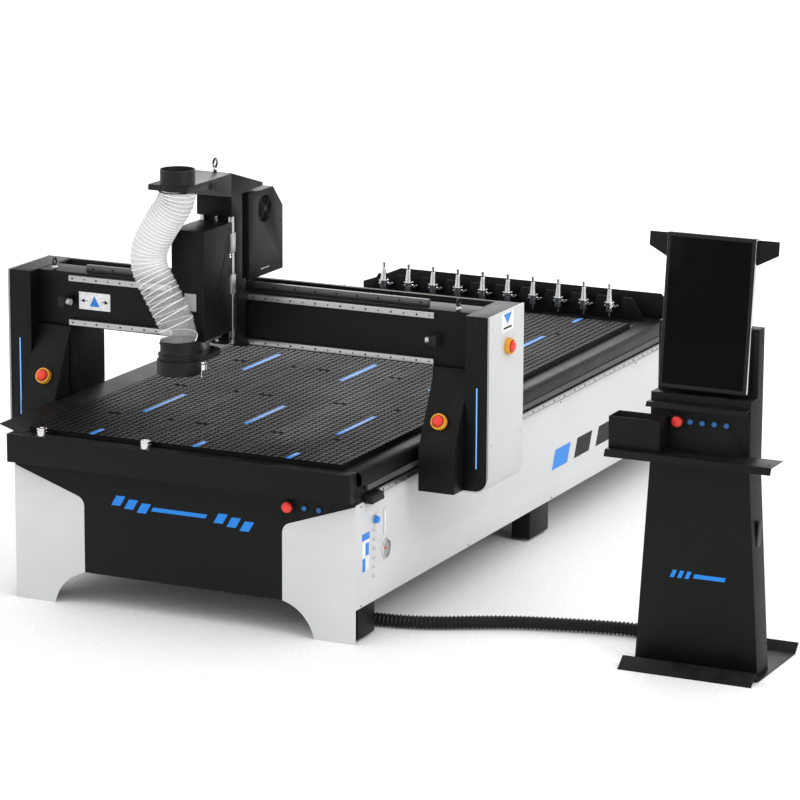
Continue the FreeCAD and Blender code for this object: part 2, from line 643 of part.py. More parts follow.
def make_tools():
    """A humped rack plate with forks, the tool holders that hang in them and the rear fence."""
    base = box("rack_floor", ("-dim.table_half", "dim.table_half"),
               ("dim.table_end + 2", "dim.fence_y"), ("dim.apron_top - 4", "dim.apron_top"))
    top = "dim.tool_flange"
    fork_front = "dim.tool_y - 8"
    fork_back = "dim.tool_y + 46"
    hump = f"{top} + 36"
    dip = f"{top} - 6"
    points = [("-dim.rack_plate_half - 65", "dim.apron_top"), ("-dim.rack_plate_half", hump)]
    gap = "dim.flange_radius + 14"
    for number in range(int(size("tool_count"))):
        x = f"dim.tool_first + {number} * dim.tool_pitch"
        points += [(f"{x} - {gap} - 12", hump), (f"{x} - {gap}", dip),
                   (f"{x} + {gap}", dip), (f"{x} + {gap} + 12", hump)]
    points += [("dim.rack_plate_half", hump), ("dim.rack_plate_half + 65", "dim.apron_top")]
    plate = prism("rack_plate", "XZ_Plane", points, (fork_back, f"{fork_back} + 4"))
    forks = []
    holders = []
    neck = "17"
    for number in range(int(size("tool_count"))):
        x = f"dim.tool_first + {number} * dim.tool_pitch"
        blank = box(f"fork_blank_{number}", (f"{x} - 34", f"{x} + 34"), (fork_front, fork_back),
                    (f"{top} - 14", f"{top} - 6"))
        mouth = box(f"fork_mouth_{number}", (f"{x} - {neck} - dim.fork_gap", f"{x} + {neck} + dim.fork_gap"),
                    (f"{fork_front} - 5", "dim.tool_y"), (f"{top} - 30", f"{top} + 10"))
        seat = rod(f"fork_seat_{number}", f"{neck} + dim.fork_gap",
                   (x, "dim.tool_y", f"{top} - 30"), "50")
        forks.append(cut(f"fork_{number}", blank, mouth, seat))
        profile = [("0", "-61"), ("5", "-61"), ("5", "-36"), ("15", "-34"), ("19", "-30"),
                   ("19", "-16"), (neck, "-14"), (neck, "-6"), ("dim.flange_radius", "-6"),
                   ("dim.flange_radius", "2"), ("20", "5"), ("20", "9"), ("dim.flange_radius", "12"),
                   ("dim.flange_radius", "17"), ("17", "17"), ("9.5", "76"), ("6", "78"),
                   ("6", "94"), ("8", "96"), ("8", "104"), ("5", "108"), ("0", "108")]
        holders.append(turned(f"tool_{number}", profile, (x, "dim.tool_y", top)))
    node("tool_rack", base, plate, *forks)
    node("tool_holders", *holders)
    points = [("-dim.apron_half", "dim.apron_top"), ("dim.apron_half", "dim.apron_top"),
              ("dim.apron_half", "dim.fence_top - 18"), ("dim.apron_half - 18", "dim.fence_top"),
              ("-dim.apron_half + 211", "dim.fence_top"), ("-dim.apron_half + 86", "dim.fence_top - 54"),
              ("-dim.apron_half", "dim.apron_top + 40")]
    upright = prism("fence_plate", "XZ_Plane", points, ("dim.fence_y", "dim.fence_y + 4"))
    shelf = box("fence_shelf", ("-dim.apron_half", "dim.apron_half"),
                ("dim.fence_y + 4", "dim.bed_long - 24"), ("dim.apron_top", "dim.apron_top + 3"))
    node("rear_fence", upright, shelf)


# ---------------------------------------------------------------- gantry
def make_gantry():
    """A box beam with a cable slot, on two columns inside white end covers."""
    beam = box("beam_block", ("-dim.end_box_in", "dim.end_box_in"),
               ("dim.beam_front", "dim.gantry_back"), ("dim.gantry_beam_low", "dim.gantry_beam_top"))
    slot = box("beam_slot", ("-dim.slot_half", "dim.slot_half"), ("dim.slot_front", "dim.slot_back"),
               ("dim.slot_low", "dim.gantry_beam_top + 5"))
    core = box("beam_core", ("-dim.end_box_in - 5", "dim.end_box_in + 5"),
               ("dim.beam_front + 10", "dim.slot_front - 12"),
               ("dim.gantry_beam_low + 10", "dim.gantry_beam_top - 10"))
    lower = box("beam_lower_core", ("-dim.end_box_in - 5", "dim.end_box_in + 5"),
                ("dim.slot_front", "dim.gantry_back - 10"),
                ("dim.gantry_beam_low + 10", "dim.slot_low - 10"))
    lifting = []
    for word, side in SIDES:
        x = f"{side} * 985"
        shank = rod(f"eye_shank_{word}", "7", (x, "dim.beam_front + 22", "dim.gantry_beam_top"), "22")
        ring = doc.addObject("Part::Torus", f"eye_ring_{word}")
        ring.Radius1 = 15
        ring.Radius2 = 4.5
        ring.Placement = Placement(Vector(), Rotation(Vector(0, 0, 1), Vector(1, 0, 0)))
        place(ring, x, "dim.beam_front + 22", "dim.gantry_beam_top + 36")
        lifting.append(fuse(f"eyebolt_{word}", shank, ring))
    node("gantry_beam", cut("beam_cut", beam, slot, core, lower), *lifting)

    columns = []
    covers = []
    wings = []
    stop_bore = rod("side_stop_bore", "dim.stop_stem + dim.press_gap",
                    ("dim.cover_half - 20", "dim.side_stop_y", "dim.side_stop_z"), "40", "X")
    for word, side in SIDES:
        post = box(f"post_{word}", span(side, "dim.column_in", "dim.end_box_in"),
                   ("dim.column_front", "dim.column_back"),
                   ("dim.cover_low + dim.cover_wall", "dim.gantry_beam_low"))
        room = box(f"post_room_{word}", span(side, "dim.column_in + 8", "dim.end_box_in - 8"),
                   ("dim.column_front + 8", "dim.column_back - 8"),
                   ("dim.cover_low - 5", "dim.gantry_beam_low - 8"))
        window = box(f"post_window_{word}", span(side, "dim.column_in - 5", "dim.column_in + 20"),
                     ("690", "770"), ("dim.y_rack_low + 4", "750"))
        columns.append(cut(f"post_cut_{word}", post, room, window))
        shell_out = "dim.cover_half - dim.cover_wall"
        bottom = "dim.cover_low + dim.cover_wall"
        corners = [("dim.end_box_in", bottom), (shell_out, bottom),
                   (shell_out, "dim.cover_top - 2"), ("dim.end_box_in", "dim.cover_top - 2")]
        end_box = prism(f"end_box_{word}", "XZ_Plane", mirrored(side, corners),
                        ("dim.gantry_front + 2", "dim.gantry_back - 2"))
        inner_corner = (side * (size("cover_half") - size("cover_wall")),
                        size("cover_low") + size("cover_wall"))
        round_corners(end_box, "XZ_Plane", [inner_corner], "dim.cover_radius - dim.cover_wall")
        inside = box(f"end_room_{word}", span(side, "dim.end_box_in + 6", f"{shell_out} - dim.cover_radius"),
                     ("dim.gantry_front + 8", "dim.gantry_back - 8"),
                     (f"{bottom} - 5", "dim.cover_top - 8"))
        above = box(f"end_upper_room_{word}", span(side, "dim.end_box_in + 6", f"{shell_out} - 6"),
                    ("dim.gantry_front + 8", "dim.gantry_back - 8"),
                    (f"{bottom} + dim.cover_radius", "dim.cover_top - 8"))
        rooms = [inside, above, stop_bore] if side > 0 else [inside, above]
        columns.append(cut(f"end_box_cut_{word}", end_box, *rooms))

        corners = [("dim.cover_in", "dim.cover_low"), ("dim.cover_half", "dim.cover_low"),
                   ("dim.cover_half", "dim.cover_top"), (shell_out, "dim.cover_top"),
                   (shell_out, bottom), ("dim.cover_in", bottom)]
        cover = prism(f"end_cover_{word}", "XZ_Plane", mirrored(side, corners),
                      ("dim.gantry_front", "dim.gantry_back"))
        outer_corner = (side * size("cover_half"), size("cover_low"))
        round_corners(cover, "XZ_Plane", [inner_corner], "dim.cover_radius - dim.cover_wall")
        round_corners(cover, "XZ_Plane", [outer_corner], "dim.cover_radius")
        covers.append(cover)

        profile = [("dim.column_front", "dim.wing_low"), ("dim.column_front", "dim.wing_top"),
                   ("dim.wing_front", "dim.wing_break"), ("dim.wing_front", "dim.wing_low")]
        shell = prism(f"wing_{word}", "YZ_Plane", profile, span(side, "dim.wing_in", "dim.wing_out"))
        wall = "dim.sheet_wall"
        profile = [("dim.column_front + 5", f"dim.wing_low + {wall}"),
                   ("dim.column_front + 5", f"dim.wing_top - 8"),
                   (f"dim.wing_front + {wall}", f"dim.wing_break - 1"),
                   (f"dim.wing_front + {wall}", f"dim.wing_low + {wall}")]
        hollow = prism(f"wing_room_{word}", "YZ_Plane", profile,
                       span(side, f"dim.wing_in + {wall}", f"dim.wing_out - {wall}"))
        stem = rod(f"wing_hole_{word}", "dim.stop_stem + dim.press_gap",
                   wing_stop_point(side, -30), "60", wing_normal())
        wings.append(cut(f"wing_cut_{word}", shell, hollow, stem))
    node("gantry_columns", *columns)
    covers[1] = cut("end_cover_right_cut", covers[1], stop_bore)
    node("side_covers", *covers)
    node("front_covers", *wings)


def wing_normal():
    """Outward direction of the sloped covers' faces."""
    run = size("column_front") - size("wing_front")
    rise = size("wing_top") - size("wing_break")
    length = math.hypot(run, rise)
    return Vector(0, -rise / length, run / length)


def wing_stop_point(side, offset):
    """A point on the axis of a sloped cover's stop button, so far out from the face."""
    normal = wing_normal()
    slope = "(dim.column_front - dim.wing_front) / (dim.wing_top - dim.wing_break)"
    face_y = f"dim.column_front - (dim.wing_top - dim.wing_stop_z) * {slope}"
    return (f"{side} * dim.wing_stop_x", f"{face_y} + {offset * normal.y}",
            f"dim.wing_stop_z + {offset * normal.z}")


def make_x_rails():
    """Cross rails and their rack on the beam, and the bump stops at their ends."""
    solids = []
    for word in ("upper", "lower"):
        low = f"dim.x_rail_{word}"
        solids.append(box(f"x_rail_{word}_bar", ("-dim.x_rail_half", "dim.x_rail_half"),
                          ("dim.beam_front - dim.x_rail_deep", "dim.beam_front"),
                          (low, f"{low} + dim.x_rail_tall")))
    solids.append(box("x_rack", ("-dim.x_rack_half", "dim.x_rack_half"),
                      ("dim.x_rack_front", "dim.x_rack_back"), ("dim.gantry_beam_top", "dim.x_rack_top")))
    node("x_rails", *solids)
    stops = []
    for word, side in SIDES:
        stops.append(box(f"bump_block_{word}", span(side, "dim.bump_base", "dim.bump_base + 36"),
                         ("dim.bump_y - 22", "dim.beam_front"), ("dim.bump_z - 23", "dim.bump_z + 23")))
        start = "dim.bump_tip" if side > 0 else "-dim.bump_base"
        stops.append(rod(f"bump_rod_{word}", "16", (start, "dim.bump_y", "dim.bump_z"),
                         "dim.bump_base - dim.bump_tip", "X"))
    node("bump_stops", *stops)


def make_y_carriages():
    """Bearing blocks that run on the long rails, and the gearmotors that drive the gantry."""
    blocks = []
    motors = []
    gap = "dim.slide_gap"
    rail_out = f"dim.bed_half + dim.y_rail_deep + {gap}"
    low, high = f"dim.y_rail_low - {gap}", f"dim.y_rail_low + dim.y_rail_tall + {gap}"
    top = "dim.y_rack_low - 0.6"
    for word, side in SIDES:
        corners = [("dim.bed_half + 8", f"{low} - 12"), ("dim.column_in", f"{low} - 12"),
                   ("dim.column_in", top), ("dim.bed_half + 8", top), ("dim.bed_half + 8", high),
                   (rail_out, high), (rail_out, low), ("dim.bed_half + 8", low)]
        for number, start in enumerate(("630", "790")):
            blocks.append(prism(f"y_block_{word}_{number}", "XZ_Plane", mirrored(side, corners),
                                (start, f"{start} + dim.block_long")))
        axis = "dim.bed_half + dim.y_rack_deep + dim.mesh_gap + dim.pinion_radius"
        rack_top = "dim.y_rack_low + dim.y_rack_tall"
        gearbox = box(f"y_gearbox_{word}", span(side, "dim.ledge_out + 7", "dim.column_in + 21"),
                      ("700", "760"), (f"{rack_top} + 4", f"{rack_top} + 62"))
        start = "dim.column_in + 21" if side > 0 else "-dim.column_in - 150"
        motor = rod(f"y_motor_{word}", "27", (start, "730", f"{rack_top} + 33"), "129", "X")
        flange = box(f"y_flange_{word}", span(side, "dim.column_in + 8", "dim.column_in + 16"),
                     ("680", "780"), ("dim.y_rack_low - 8", "766"))
        motors.append(fuse(f"y_gearmotor_{word}", gearbox, flange, motor))
        profile = [("0", "0"), ("dim.pinion_radius", "0"), ("dim.pinion_radius", "dim.y_rack_tall - 1"),
                   ("dim.pinion_shaft", "dim.y_rack_tall - 1"), ("dim.pinion_shaft", "dim.y_rack_tall + 2.5"),
                   ("0", "dim.y_rack_tall + 2.5")]
        x = axis if side > 0 else f"-({axis})"
        node(f"y_pinion_{word}", turned(f"pinion_{word}", profile, (x, "730", "dim.y_rack_low + 1")))
    node("y_bearing_blocks", *blocks)
    node("y_gearmotors", *motors)


# ---------------------------------------------------------------- head
def head_span(inset=0):
    """Low and high X across the head, less an inset each side."""
    return (f"dim.head_x - dim.head_half + {inset}", f"dim.head_x + dim.head_half - {inset}")


def make_carriage():
    """The cross carriage: plate and bearing blocks, Z column, rails, screw and its drive."""
    plate = box("plate", head_span(), ("dim.plate_front", "dim.plate_back"),
                ("dim.plate_low", "dim.plate_top"))
    gap = "dim.slide_gap"
    front = f"dim.beam_front - dim.x_rail_deep - {gap}"
    reach = "dim.beam_front - 8"
    blocks = []
    for word, below, above in (("upper", "10.5", "10"), ("lower", "7", "10.5")):
        low = f"dim.x_rail_{word} - {gap}"
        high = f"dim.x_rail_{word} + dim.x_rail_tall + {gap}"
        profile = [("dim.plate_back", f"{low} - {below}"), (reach, f"{low} - {below}"), (reach, low),
                   (front, low), (front, high), (reach, high), (reach, f"{high} + {above}"),
                   ("dim.plate_back", f"{high} + {above}")]
        for number, edge in enumerate(("dim.head_x - dim.head_half", "dim.head_x + dim.head_half - 70")):
            blocks.append(prism(f"x_block_{word}_{number}", "YZ_Plane", profile, (edge, f"{edge} + 70")))
    node("carriage_plate", plate, *blocks)

    column = box("z_column_bar", head_span(), ("dim.z_column_front", "dim.plate_front"),
                 ("dim.z_column_low", "dim.z_column_top"))
    neck = box("z_neck", head_span(22), ("dim.plate_front", "dim.box_front"),
               ("dim.plate_top + 5", "dim.z_column_top + 21"))
    node("z_column", column, neck)
    rails = []
    for word, side in SIDES:
        middle = f"dim.head_x + {side} * dim.z_rail_offset"
        rails.append(box(f"z_rail_{word}",
                         (f"{middle} - dim.z_rail_wide / 2", f"{middle} + dim.z_rail_wide / 2"),
                         ("dim.z_column_front - dim.z_rail_deep", "dim.z_column_front"),
                         ("dim.z_column_low", "dim.z_column_top")))
    node("z_rails", *rails)
    length = "dim.z_column_top - dim.z_column_low + 10"
    profile = [("0", "0"), ("dim.screw_radius", "0"), ("dim.screw_radius", length), ("0", length)]
    node("z_screw", turned("screw", profile, ("dim.head_x", "dim.screw_y", "dim.z_column_low + 5")))

    block = box("motor_block", head_span(), ("dim.screw_y - 20", "dim.plate_front"),
                ("dim.z_column_top + 1", "dim.block_top"))
    bearing = rod("screw_bearing", "dim.screw_radius + 1",
                  ("dim.head_x", "dim.screw_y", "dim.z_column_top - 5"), "60")
    profile = [("dim.screw_y - 20", "dim.block_top"), ("dim.screw_y - 20", "dim.roof_top"),
               ("dim.roof_rear", "dim.roof_rear_top"), ("dim.roof_rear", "dim.roof_rear_top - 14"),
               ("dim.plate_front", "dim.block_top")]
    wide = ("dim.head_x - dim.head_half - 29", "dim.head_x + dim.head_half")
    roof = prism("roof_hood", "YZ_Plane", profile, wide)
    profile = [("dim.screw_y - 17", "dim.block_top - 5"), ("dim.screw_y - 17", "dim.roof_top - 5"),
               ("dim.roof_rear - 4", "dim.roof_rear_top - 4"), ("dim.plate_front + 40", "dim.block_top - 5")]
    roof_room = prism("roof_room", "YZ_Plane", profile,
                      ("dim.head_x - dim.head_half - 26", "dim.head_x + dim.head_half - 3"))
    neck_top = "dim.z_column_top + 21"
    motor = rod("z_motor", "28", ("dim.head_x", "dim.plate_front + 31", neck_top),
                f"dim.block_top - ({neck_top}) - 2")
    shank = rod("head_eye_shank", "7", ("dim.head_x", "dim.screw_y - 8", "dim.roof_top - 3"), "24")
    ring = doc.addObject("Part::Torus", "head_eye_ring")
    ring.Radius1 = 17
    ring.Radius2 = 4.5
    ring.Placement = Placement(Vector(), Rotation(Vector(0, 0, 1), Vector(1, 0, 0)))
    place(ring, "dim.head_x", "dim.screw_y - 8", "dim.roof_top + 37")
    eye = fuse("head_eyebolt", shank, ring)
    node("head_roof", cut("motor_block_cut", block, bearing),
         cut("roof_shell", roof, roof_room, rod("roof_eye_hole", "7",
             ("dim.head_x", "dim.screw_y - 8", "dim.roof_top - 20"), "40")), motor, eye)


def make_electrical_box():
    """The sheet box behind the head, its fan and the cross drive's gearmotor and pinion."""
    def shape(name, inset, x):
        profile = [(f"dim.box_front + {inset}", f"dim.box_low + {inset}"),
                   (f"dim.box_back - {inset}", f"dim.box_low + {inset}"),
                   (f"dim.box_back - {inset}", f"dim.box_slope_z - {inset} / 2"),
                   (f"dim.box_slope_y - {inset} / 2", f"dim.box_top - {inset}"),
                   (f"dim.box_front + {inset}", f"dim.box_top - {inset}")]
        return prism(name, "YZ_Plane", profile, x)

    wall = "dim.box_wall"
    outer = shape("case_outer", "0", head_span())
    room = shape("case_room", wall, head_span(wall))
    fan_hole = rod("fan_hole", "dim.fan_radius",
                   ("dim.head_x + dim.head_half - 20", "dim.fan_y", "dim.fan_z"),
                   "40", "X")
    axis_y = "dim.x_rack_back + dim.mesh_gap + dim.pinion_radius"
    shaft_hole = rod("x_shaft_hole", "dim.pinion_shaft + 3", ("dim.head_x", axis_y, "dim.box_low - 10"), "40")
    gearbox = box("x_gearbox", ("dim.head_x - 30", "dim.head_x + 30"), (f"{axis_y} - 30", f"{axis_y} + 30"),
                  (f"dim.box_low + {wall}", "dim.box_low + 84"))
    motor = rod("x_motor", "27", ("dim.head_x", axis_y, "dim.box_low + 84"), "110")
    face = "dim.head_x + dim.head_half"
    hanger = box("fan_hanger", (f"{face} - 66", f"{face} - 62"), ("dim.fan_y - 16", "dim.fan_y + 16"),
                 ("dim.fan_z - 16", f"dim.box_top - {wall}"))
    fan_motor = rod("fan_motor", "15", (f"{face} - 62", "dim.fan_y", "dim.fan_z"), "31.5", "X")
    node("electrical_box", cut("case_shell", outer, room, fan_hole, shaft_hole),
         fuse("x_gearmotor", gearbox, motor), fuse("fan_mounting", hanger, fan_motor))
    low = "dim.gantry_beam_top + 6"
    profile = [("0", "0"), ("dim.pinion_radius", "0"), ("dim.pinion_radius", f"dim.x_rack_top - ({low})"),
               ("dim.pinion_shaft", f"dim.x_rack_top - ({low})"),
               ("dim.pinion_shaft", f"dim.box_low + {wall} - ({low}) - 0.5"),
               ("0", f"dim.box_low + {wall} - ({low}) - 0.5")]
    node("x_pinion", turned("x_pinion_gear", profile, ("dim.head_x", axis_y, low)))

    blades = [rod("fan_hub", "20", ("dim.head_x + dim.head_half - 30", "dim.fan_y", "dim.fan_z"), "18", "X")]
    blade_count = 7
    for number in range(blade_count):
        blade = doc.addObject("Part::Box", f"fan_blade_{number}")
        blade.Length = 12
        blade.Width = 3
        blade.setExpression("Height", "dim.fan_radius - 6")
        turn = Rotation(Vector(1, 0, 0), 360 * number / blade_count)
        blade.Placement = Placement(Vector(), turn)
        blades.append(place(blade, "dim.head_x + dim.head_half - 27", "dim.fan_y", "dim.fan_z"))
    node("box_fan", fuse("fan_rotor", *blades))


def make_dust_duct():
    """The upper collar on its bracket and the flexible hose down to the shoe."""
    wall = "dim.duct_wall"
    high = "dim.spigot_top - dim.outlet_long"
    low = f"{high} - dim.bracket_thick"
    seat_radius = f"dim.duct_radius - {wall}"
    upper = pipe("outlet_tube", "dim.outlet_radius", wall, ("dim.head_x", "dim.duct_y", high),
                 "dim.outlet_long")
    lower = pipe("seat_tube", seat_radius, f"{wall} + {seat_radius} - dim.outlet_radius",
                 ("dim.head_x", "dim.duct_y", "dim.spigot_low"), f"{high} - dim.spigot_low")
    collar = fuse("spigot_tube", upper, lower)
    sleeve = rod("spigot_hole", seat_radius, ("dim.head_x", "dim.duct_y", f"{low} - 5"), "60")
    left, right = "dim.head_x - dim.bracket_left", "dim.head_x + dim.bracket_right"
    front, rear = "dim.duct_y - dim.bracket_reach", "dim.screw_y - dim.roof_lead"
    top_plate = box("bracket_top", (left, right), (front, rear), (f"{high} - 4", high))
    front_lip = box("bracket_lip", (left, right), (front, f"{front} + {wall}"), (low, high))
    profile = [(front, low), (front, high), (rear, high), (rear, "dim.block_top")]
    left_side = prism("bracket_left_side", "YZ_Plane", profile, (left, f"{left} + {wall}"))
    right_side = prism("bracket_right_side", "YZ_Plane", profile, (f"{right} - {wall}", right))
    eye = rod("bracket_eye", "dim.bracket_eye_radius",
              (f"{right} - 10", f"{rear} - 185", "dim.roof_top - 27"), "20", "X")
    folded = fuse("bracket", top_plate, front_lip, left_side, right_side)
    plate = cut("bracket_cut", folded, sleeve, eye)
    node("hose_spigot", fuse("spigot_bracket", collar, plate))

    x, y = size("head_x"), size("duct_y")
    top, bottom = size("spigot_low") + size("hose_lap"), size("collar_top")
    bow_x, bow_z = x - size("hose_reach"), size("hose_kink")
    route = [Vector(x, y, top), Vector(x, y, top - 60), Vector(bow_x, y, bow_z),
             Vector(x, y, bottom + 60), Vector(x, y, bottom)]
    outer = swept_tube(route, size("duct_radius"), "dust hose")
    inner = swept_tube(route, size("duct_radius") - size("duct_wall"), "dust hose bore")
    hose = doc.addObject("Part::Feature", "hose")
    hose.Shape = outer.cut(inner)
    node("dust_hose", hose)


def make_z_head():
    """What rides on the Z rails: slide plate, spindle, cover and dust shoe."""
    half = "dim.hood_half - dim.sheet_wall"
    plate = box("slide_plate", (f"dim.head_x - ({half})", f"dim.head_x + {half}"),
                ("dim.slide_front", "dim.slide_back"), ("1180", "1630"))
    gap = "dim.slide_gap"
    solids = [plate]
    heights = ("1335", "1515")
    rail_front = f"dim.z_column_front - dim.z_rail_deep - {gap}"
    notches = []
    for word, side in SIDES:
        middle = f"dim.head_x + {side} * dim.z_rail_offset"
        half = f"dim.z_rail_wide / 2 + {gap}"
        outer, inner = f"{half} + 7", f"{half} + 9"
        reach = "dim.z_column_front - 7"
        signs = (f"{middle} + {side} * ({outer})", f"{middle} + {side} * ({half})",
                 f"{middle} - {side} * ({half})", f"{middle} - {side} * ({inner})")
        profile = [(signs[3], "dim.slide_back"), (signs[0], "dim.slide_back"), (signs[0], reach),
                   (signs[1], reach), (signs[1], rail_front), (signs[2], rail_front),
                   (signs[2], reach), (signs[3], reach)]
        for number, low in enumerate(heights):
            solids.append(prism(f"z_block_{word}_{number}", "XY_Plane", profile,
                                (low, f"{low} + dim.z_block_tall")))
            notches.append(box(f"cover_notch_{word}_{number}",
                               (f"{middle} - 30", f"{middle} + 30"),
                               ("dim.slide_back - 1", "dim.hood_back + 5"),
                               (f"{low} - 1", f"{low} + dim.z_block_tall + 1")))
    nut = box("nut_block", ("dim.head_x - 25", "dim.head_x + 25"),
              ("dim.slide_back", "dim.z_column_front - 1"),
              ("1445", "1495"))
    nut_bore = rod("nut_bore", "dim.screw_radius + dim.screw_gap",
                   ("dim.head_x", "dim.screw_y", "1440"), "60")
    node("z_slide", *solids, cut("nut", nut, nut_bore))

    wall = "dim.sheet_wall"
    skin = box("hood_skin", ("dim.head_x - dim.hood_half", "dim.head_x + dim.hood_half"),
               ("dim.hood_front", "dim.hood_back"), ("dim.hood_low", "dim.hood_top"))
    room = box("hood_room", (f"dim.head_x - dim.hood_half + {wall}", f"dim.head_x + dim.hood_half - {wall}"),
               (f"dim.hood_front + {wall}", "dim.hood_back + 5"),
               ("dim.hood_low - 5", f"dim.hood_top - {wall}"))
    node("spindle_cover", cut("hood_shell", skin, room, *notches))

    body = box("spindle_body", ("dim.head_x - dim.spindle_half", "dim.head_x + dim.spindle_half"),
               ("dim.slide_front - 140", "dim.slide_front"), ("dim.spindle_low", "dim.spindle_top"))
    nose = rod("spindle_snout", "dim.nose_radius", ("dim.head_x", "dim.spindle_y", "dim.nose_low"),
               "dim.spindle_low - dim.nose_low + 2")
    bore = rod("spindle_bore", "dim.arbor_radius + dim.arbor_gap",
               ("dim.head_x", "dim.spindle_y", "dim.nose_low - 5"), "66")
    node("spindle_motor", cut("spindle_housing", fuse("spindle_blank", body, nose), bore))

    tip = "dim.bit_tip"
    profile = [("0", "0"), ("dim.bit_radius", "0"), ("dim.bit_radius", "29"), ("dim.nut_radius - 4", "30"),
               ("dim.nut_radius", "34"), ("dim.nut_radius", "58"), ("dim.arbor_radius", "61"),
               ("dim.arbor_radius", f"dim.nose_low + 60 - {tip}"), ("0", f"dim.nose_low + 60 - {tip}")]
    node("spindle_rotor", turned("rotor", profile, ("dim.head_x", "dim.spindle_y", tip)))

    centre = ("dim.head_x", "dim.duct_y")
    inner = "dim.duct_radius - dim.duct_wall"
    disc = rod("shoe_disc", "dim.shoe_radius", (*centre, "dim.shoe_low"), "dim.shoe_top - dim.shoe_low")
    arm = box("shoe_arm", ("dim.head_x - 70", "dim.head_x + 70"), ("dim.duct_y", "dim.spindle_y + 20"),
              ("dim.shoe_top - 22", "dim.shoe_top"))
    tail = rod("shoe_tail", "70", ("dim.head_x", "dim.spindle_y + 20", "dim.shoe_top - 22"), "22")
    collar = rod("shoe_collar", "dim.duct_radius", (*centre, "dim.shoe_top"), "dim.collar_top - dim.shoe_top")
    flange = rod("shoe_flange", "dim.duct_radius + 9", (*centre, "dim.shoe_top + 14"), "12")
    throat = rod("shoe_throat", inner, (*centre, "dim.shoe_low - 5"), "dim.collar_top - dim.shoe_low + 10")
    snout = rod("shoe_snout_hole", "dim.nose_radius", ("dim.head_x", "dim.spindle_y", "dim.shoe_low"), "80")
    node("dust_shoe", cut("shoe", fuse("shoe_blank", disc, arm, tail, collar, flange), throat, snout))


# ---------------------------------------------------------------- controls
def mushroom(name, start, axis, standoff="4"):
    """A palm button: a round head on a stem that goes through its panel."""
    profile = [("0", "-18"), ("dim.stop_stem", "-18"), ("dim.stop_stem", standoff),
               ("dim.stop_radius - 3", standoff), ("dim.stop_radius", f"{standoff} + 8"),
               ("dim.stop_radius", f"{standoff} + 16"), ("dim.stop_radius - 9", f"{standoff} + 22"),
               ("0", f"{standoff} + 24")]
    node(name, turned(f"{name}_head", profile, start, axis))


def push_button(name, start):
    """A round flat button that slides in a hole in its panel."""
    profile = [("0", "-16"), ("dim.press_radius", "-16"), ("dim.press_radius", "6"),
               ("dim.press_radius - 2", "8"), ("0", "8")]
    node(name, turned(f"{name}_cap", profile, start, Vector(0, -1, 0)))


def make_controls():
    """Emergency buttons with their shrouds, and the push buttons."""
    rings = []
    normal = wing_normal()
    for word, side in SIDES:
        rings.append(pipe(f"wing_ring_{word}", "dim.ring_radius", "dim.ring_wall",
                          wing_stop_point(side, 0), "dim.ring_tall", normal))
        mushroom(f"{word}_stop_button", wing_stop_point(side, 0), normal, "12")
    side_start = ("dim.cover_half", "dim.side_stop_y", "dim.side_stop_z")
    rings.append(pipe("side_ring", "dim.ring_radius", "dim.ring_wall", side_start, "dim.ring_tall", "X"))
    mushroom("side_stop_button", side_start, "X", "12")
    node("stop_shrouds", *rings)
    mushroom("front_stop_button", ("dim.front_stop_x", "dim.sheet_wall", "dim.front_row_z"),
             Vector(0, -1, 0), "8")
    for number in range(2):
        x = f"dim.front_press_x + {number} * dim.front_press_step"
        push_button(f"front_button_{number + 1}", (x, "dim.sheet_wall", "dim.front_row_z"))
    mushroom("console_stop_button", ("dim.console_x + dim.desk_stop_x", "dim.column_face", "dim.desk_row_z"),
             Vector(0, -1, 0), "8")
    for number in range(4):
        x = f"dim.console_x + dim.desk_press_x + {number} * dim.desk_press_step"
        push_button(f"console_button_{number + 1}", (x, "dim.column_face", "dim.desk_row_z"))


# ---------------------------------------------------------------- console
def tapered(name, low, high):
    """A four-sided block between two rectangles, each given as height, half width, front and rear."""
    body = doc.addObject("PartDesign::Body", name)
    rings = []
    for height, half, front, rear in (low, high):
        left, right = f"dim.console_x - ({half})", f"dim.console_x + ({half})"
        ring = outline(body, "XY_Plane", [(left, front), (right, front), (right, rear), (left, rear)])
        ring.setExpression("AttachmentOffset.Base.z", str(height))
        rings.append(ring)
    loft = body.newObject("PartDesign::AdditiveLoft", f"{name}_loft")
    loft.Profile = rings[0]
    loft.Sections = [rings[1]]
    loft.Ruled = True
    body.Tip = loft
    return body


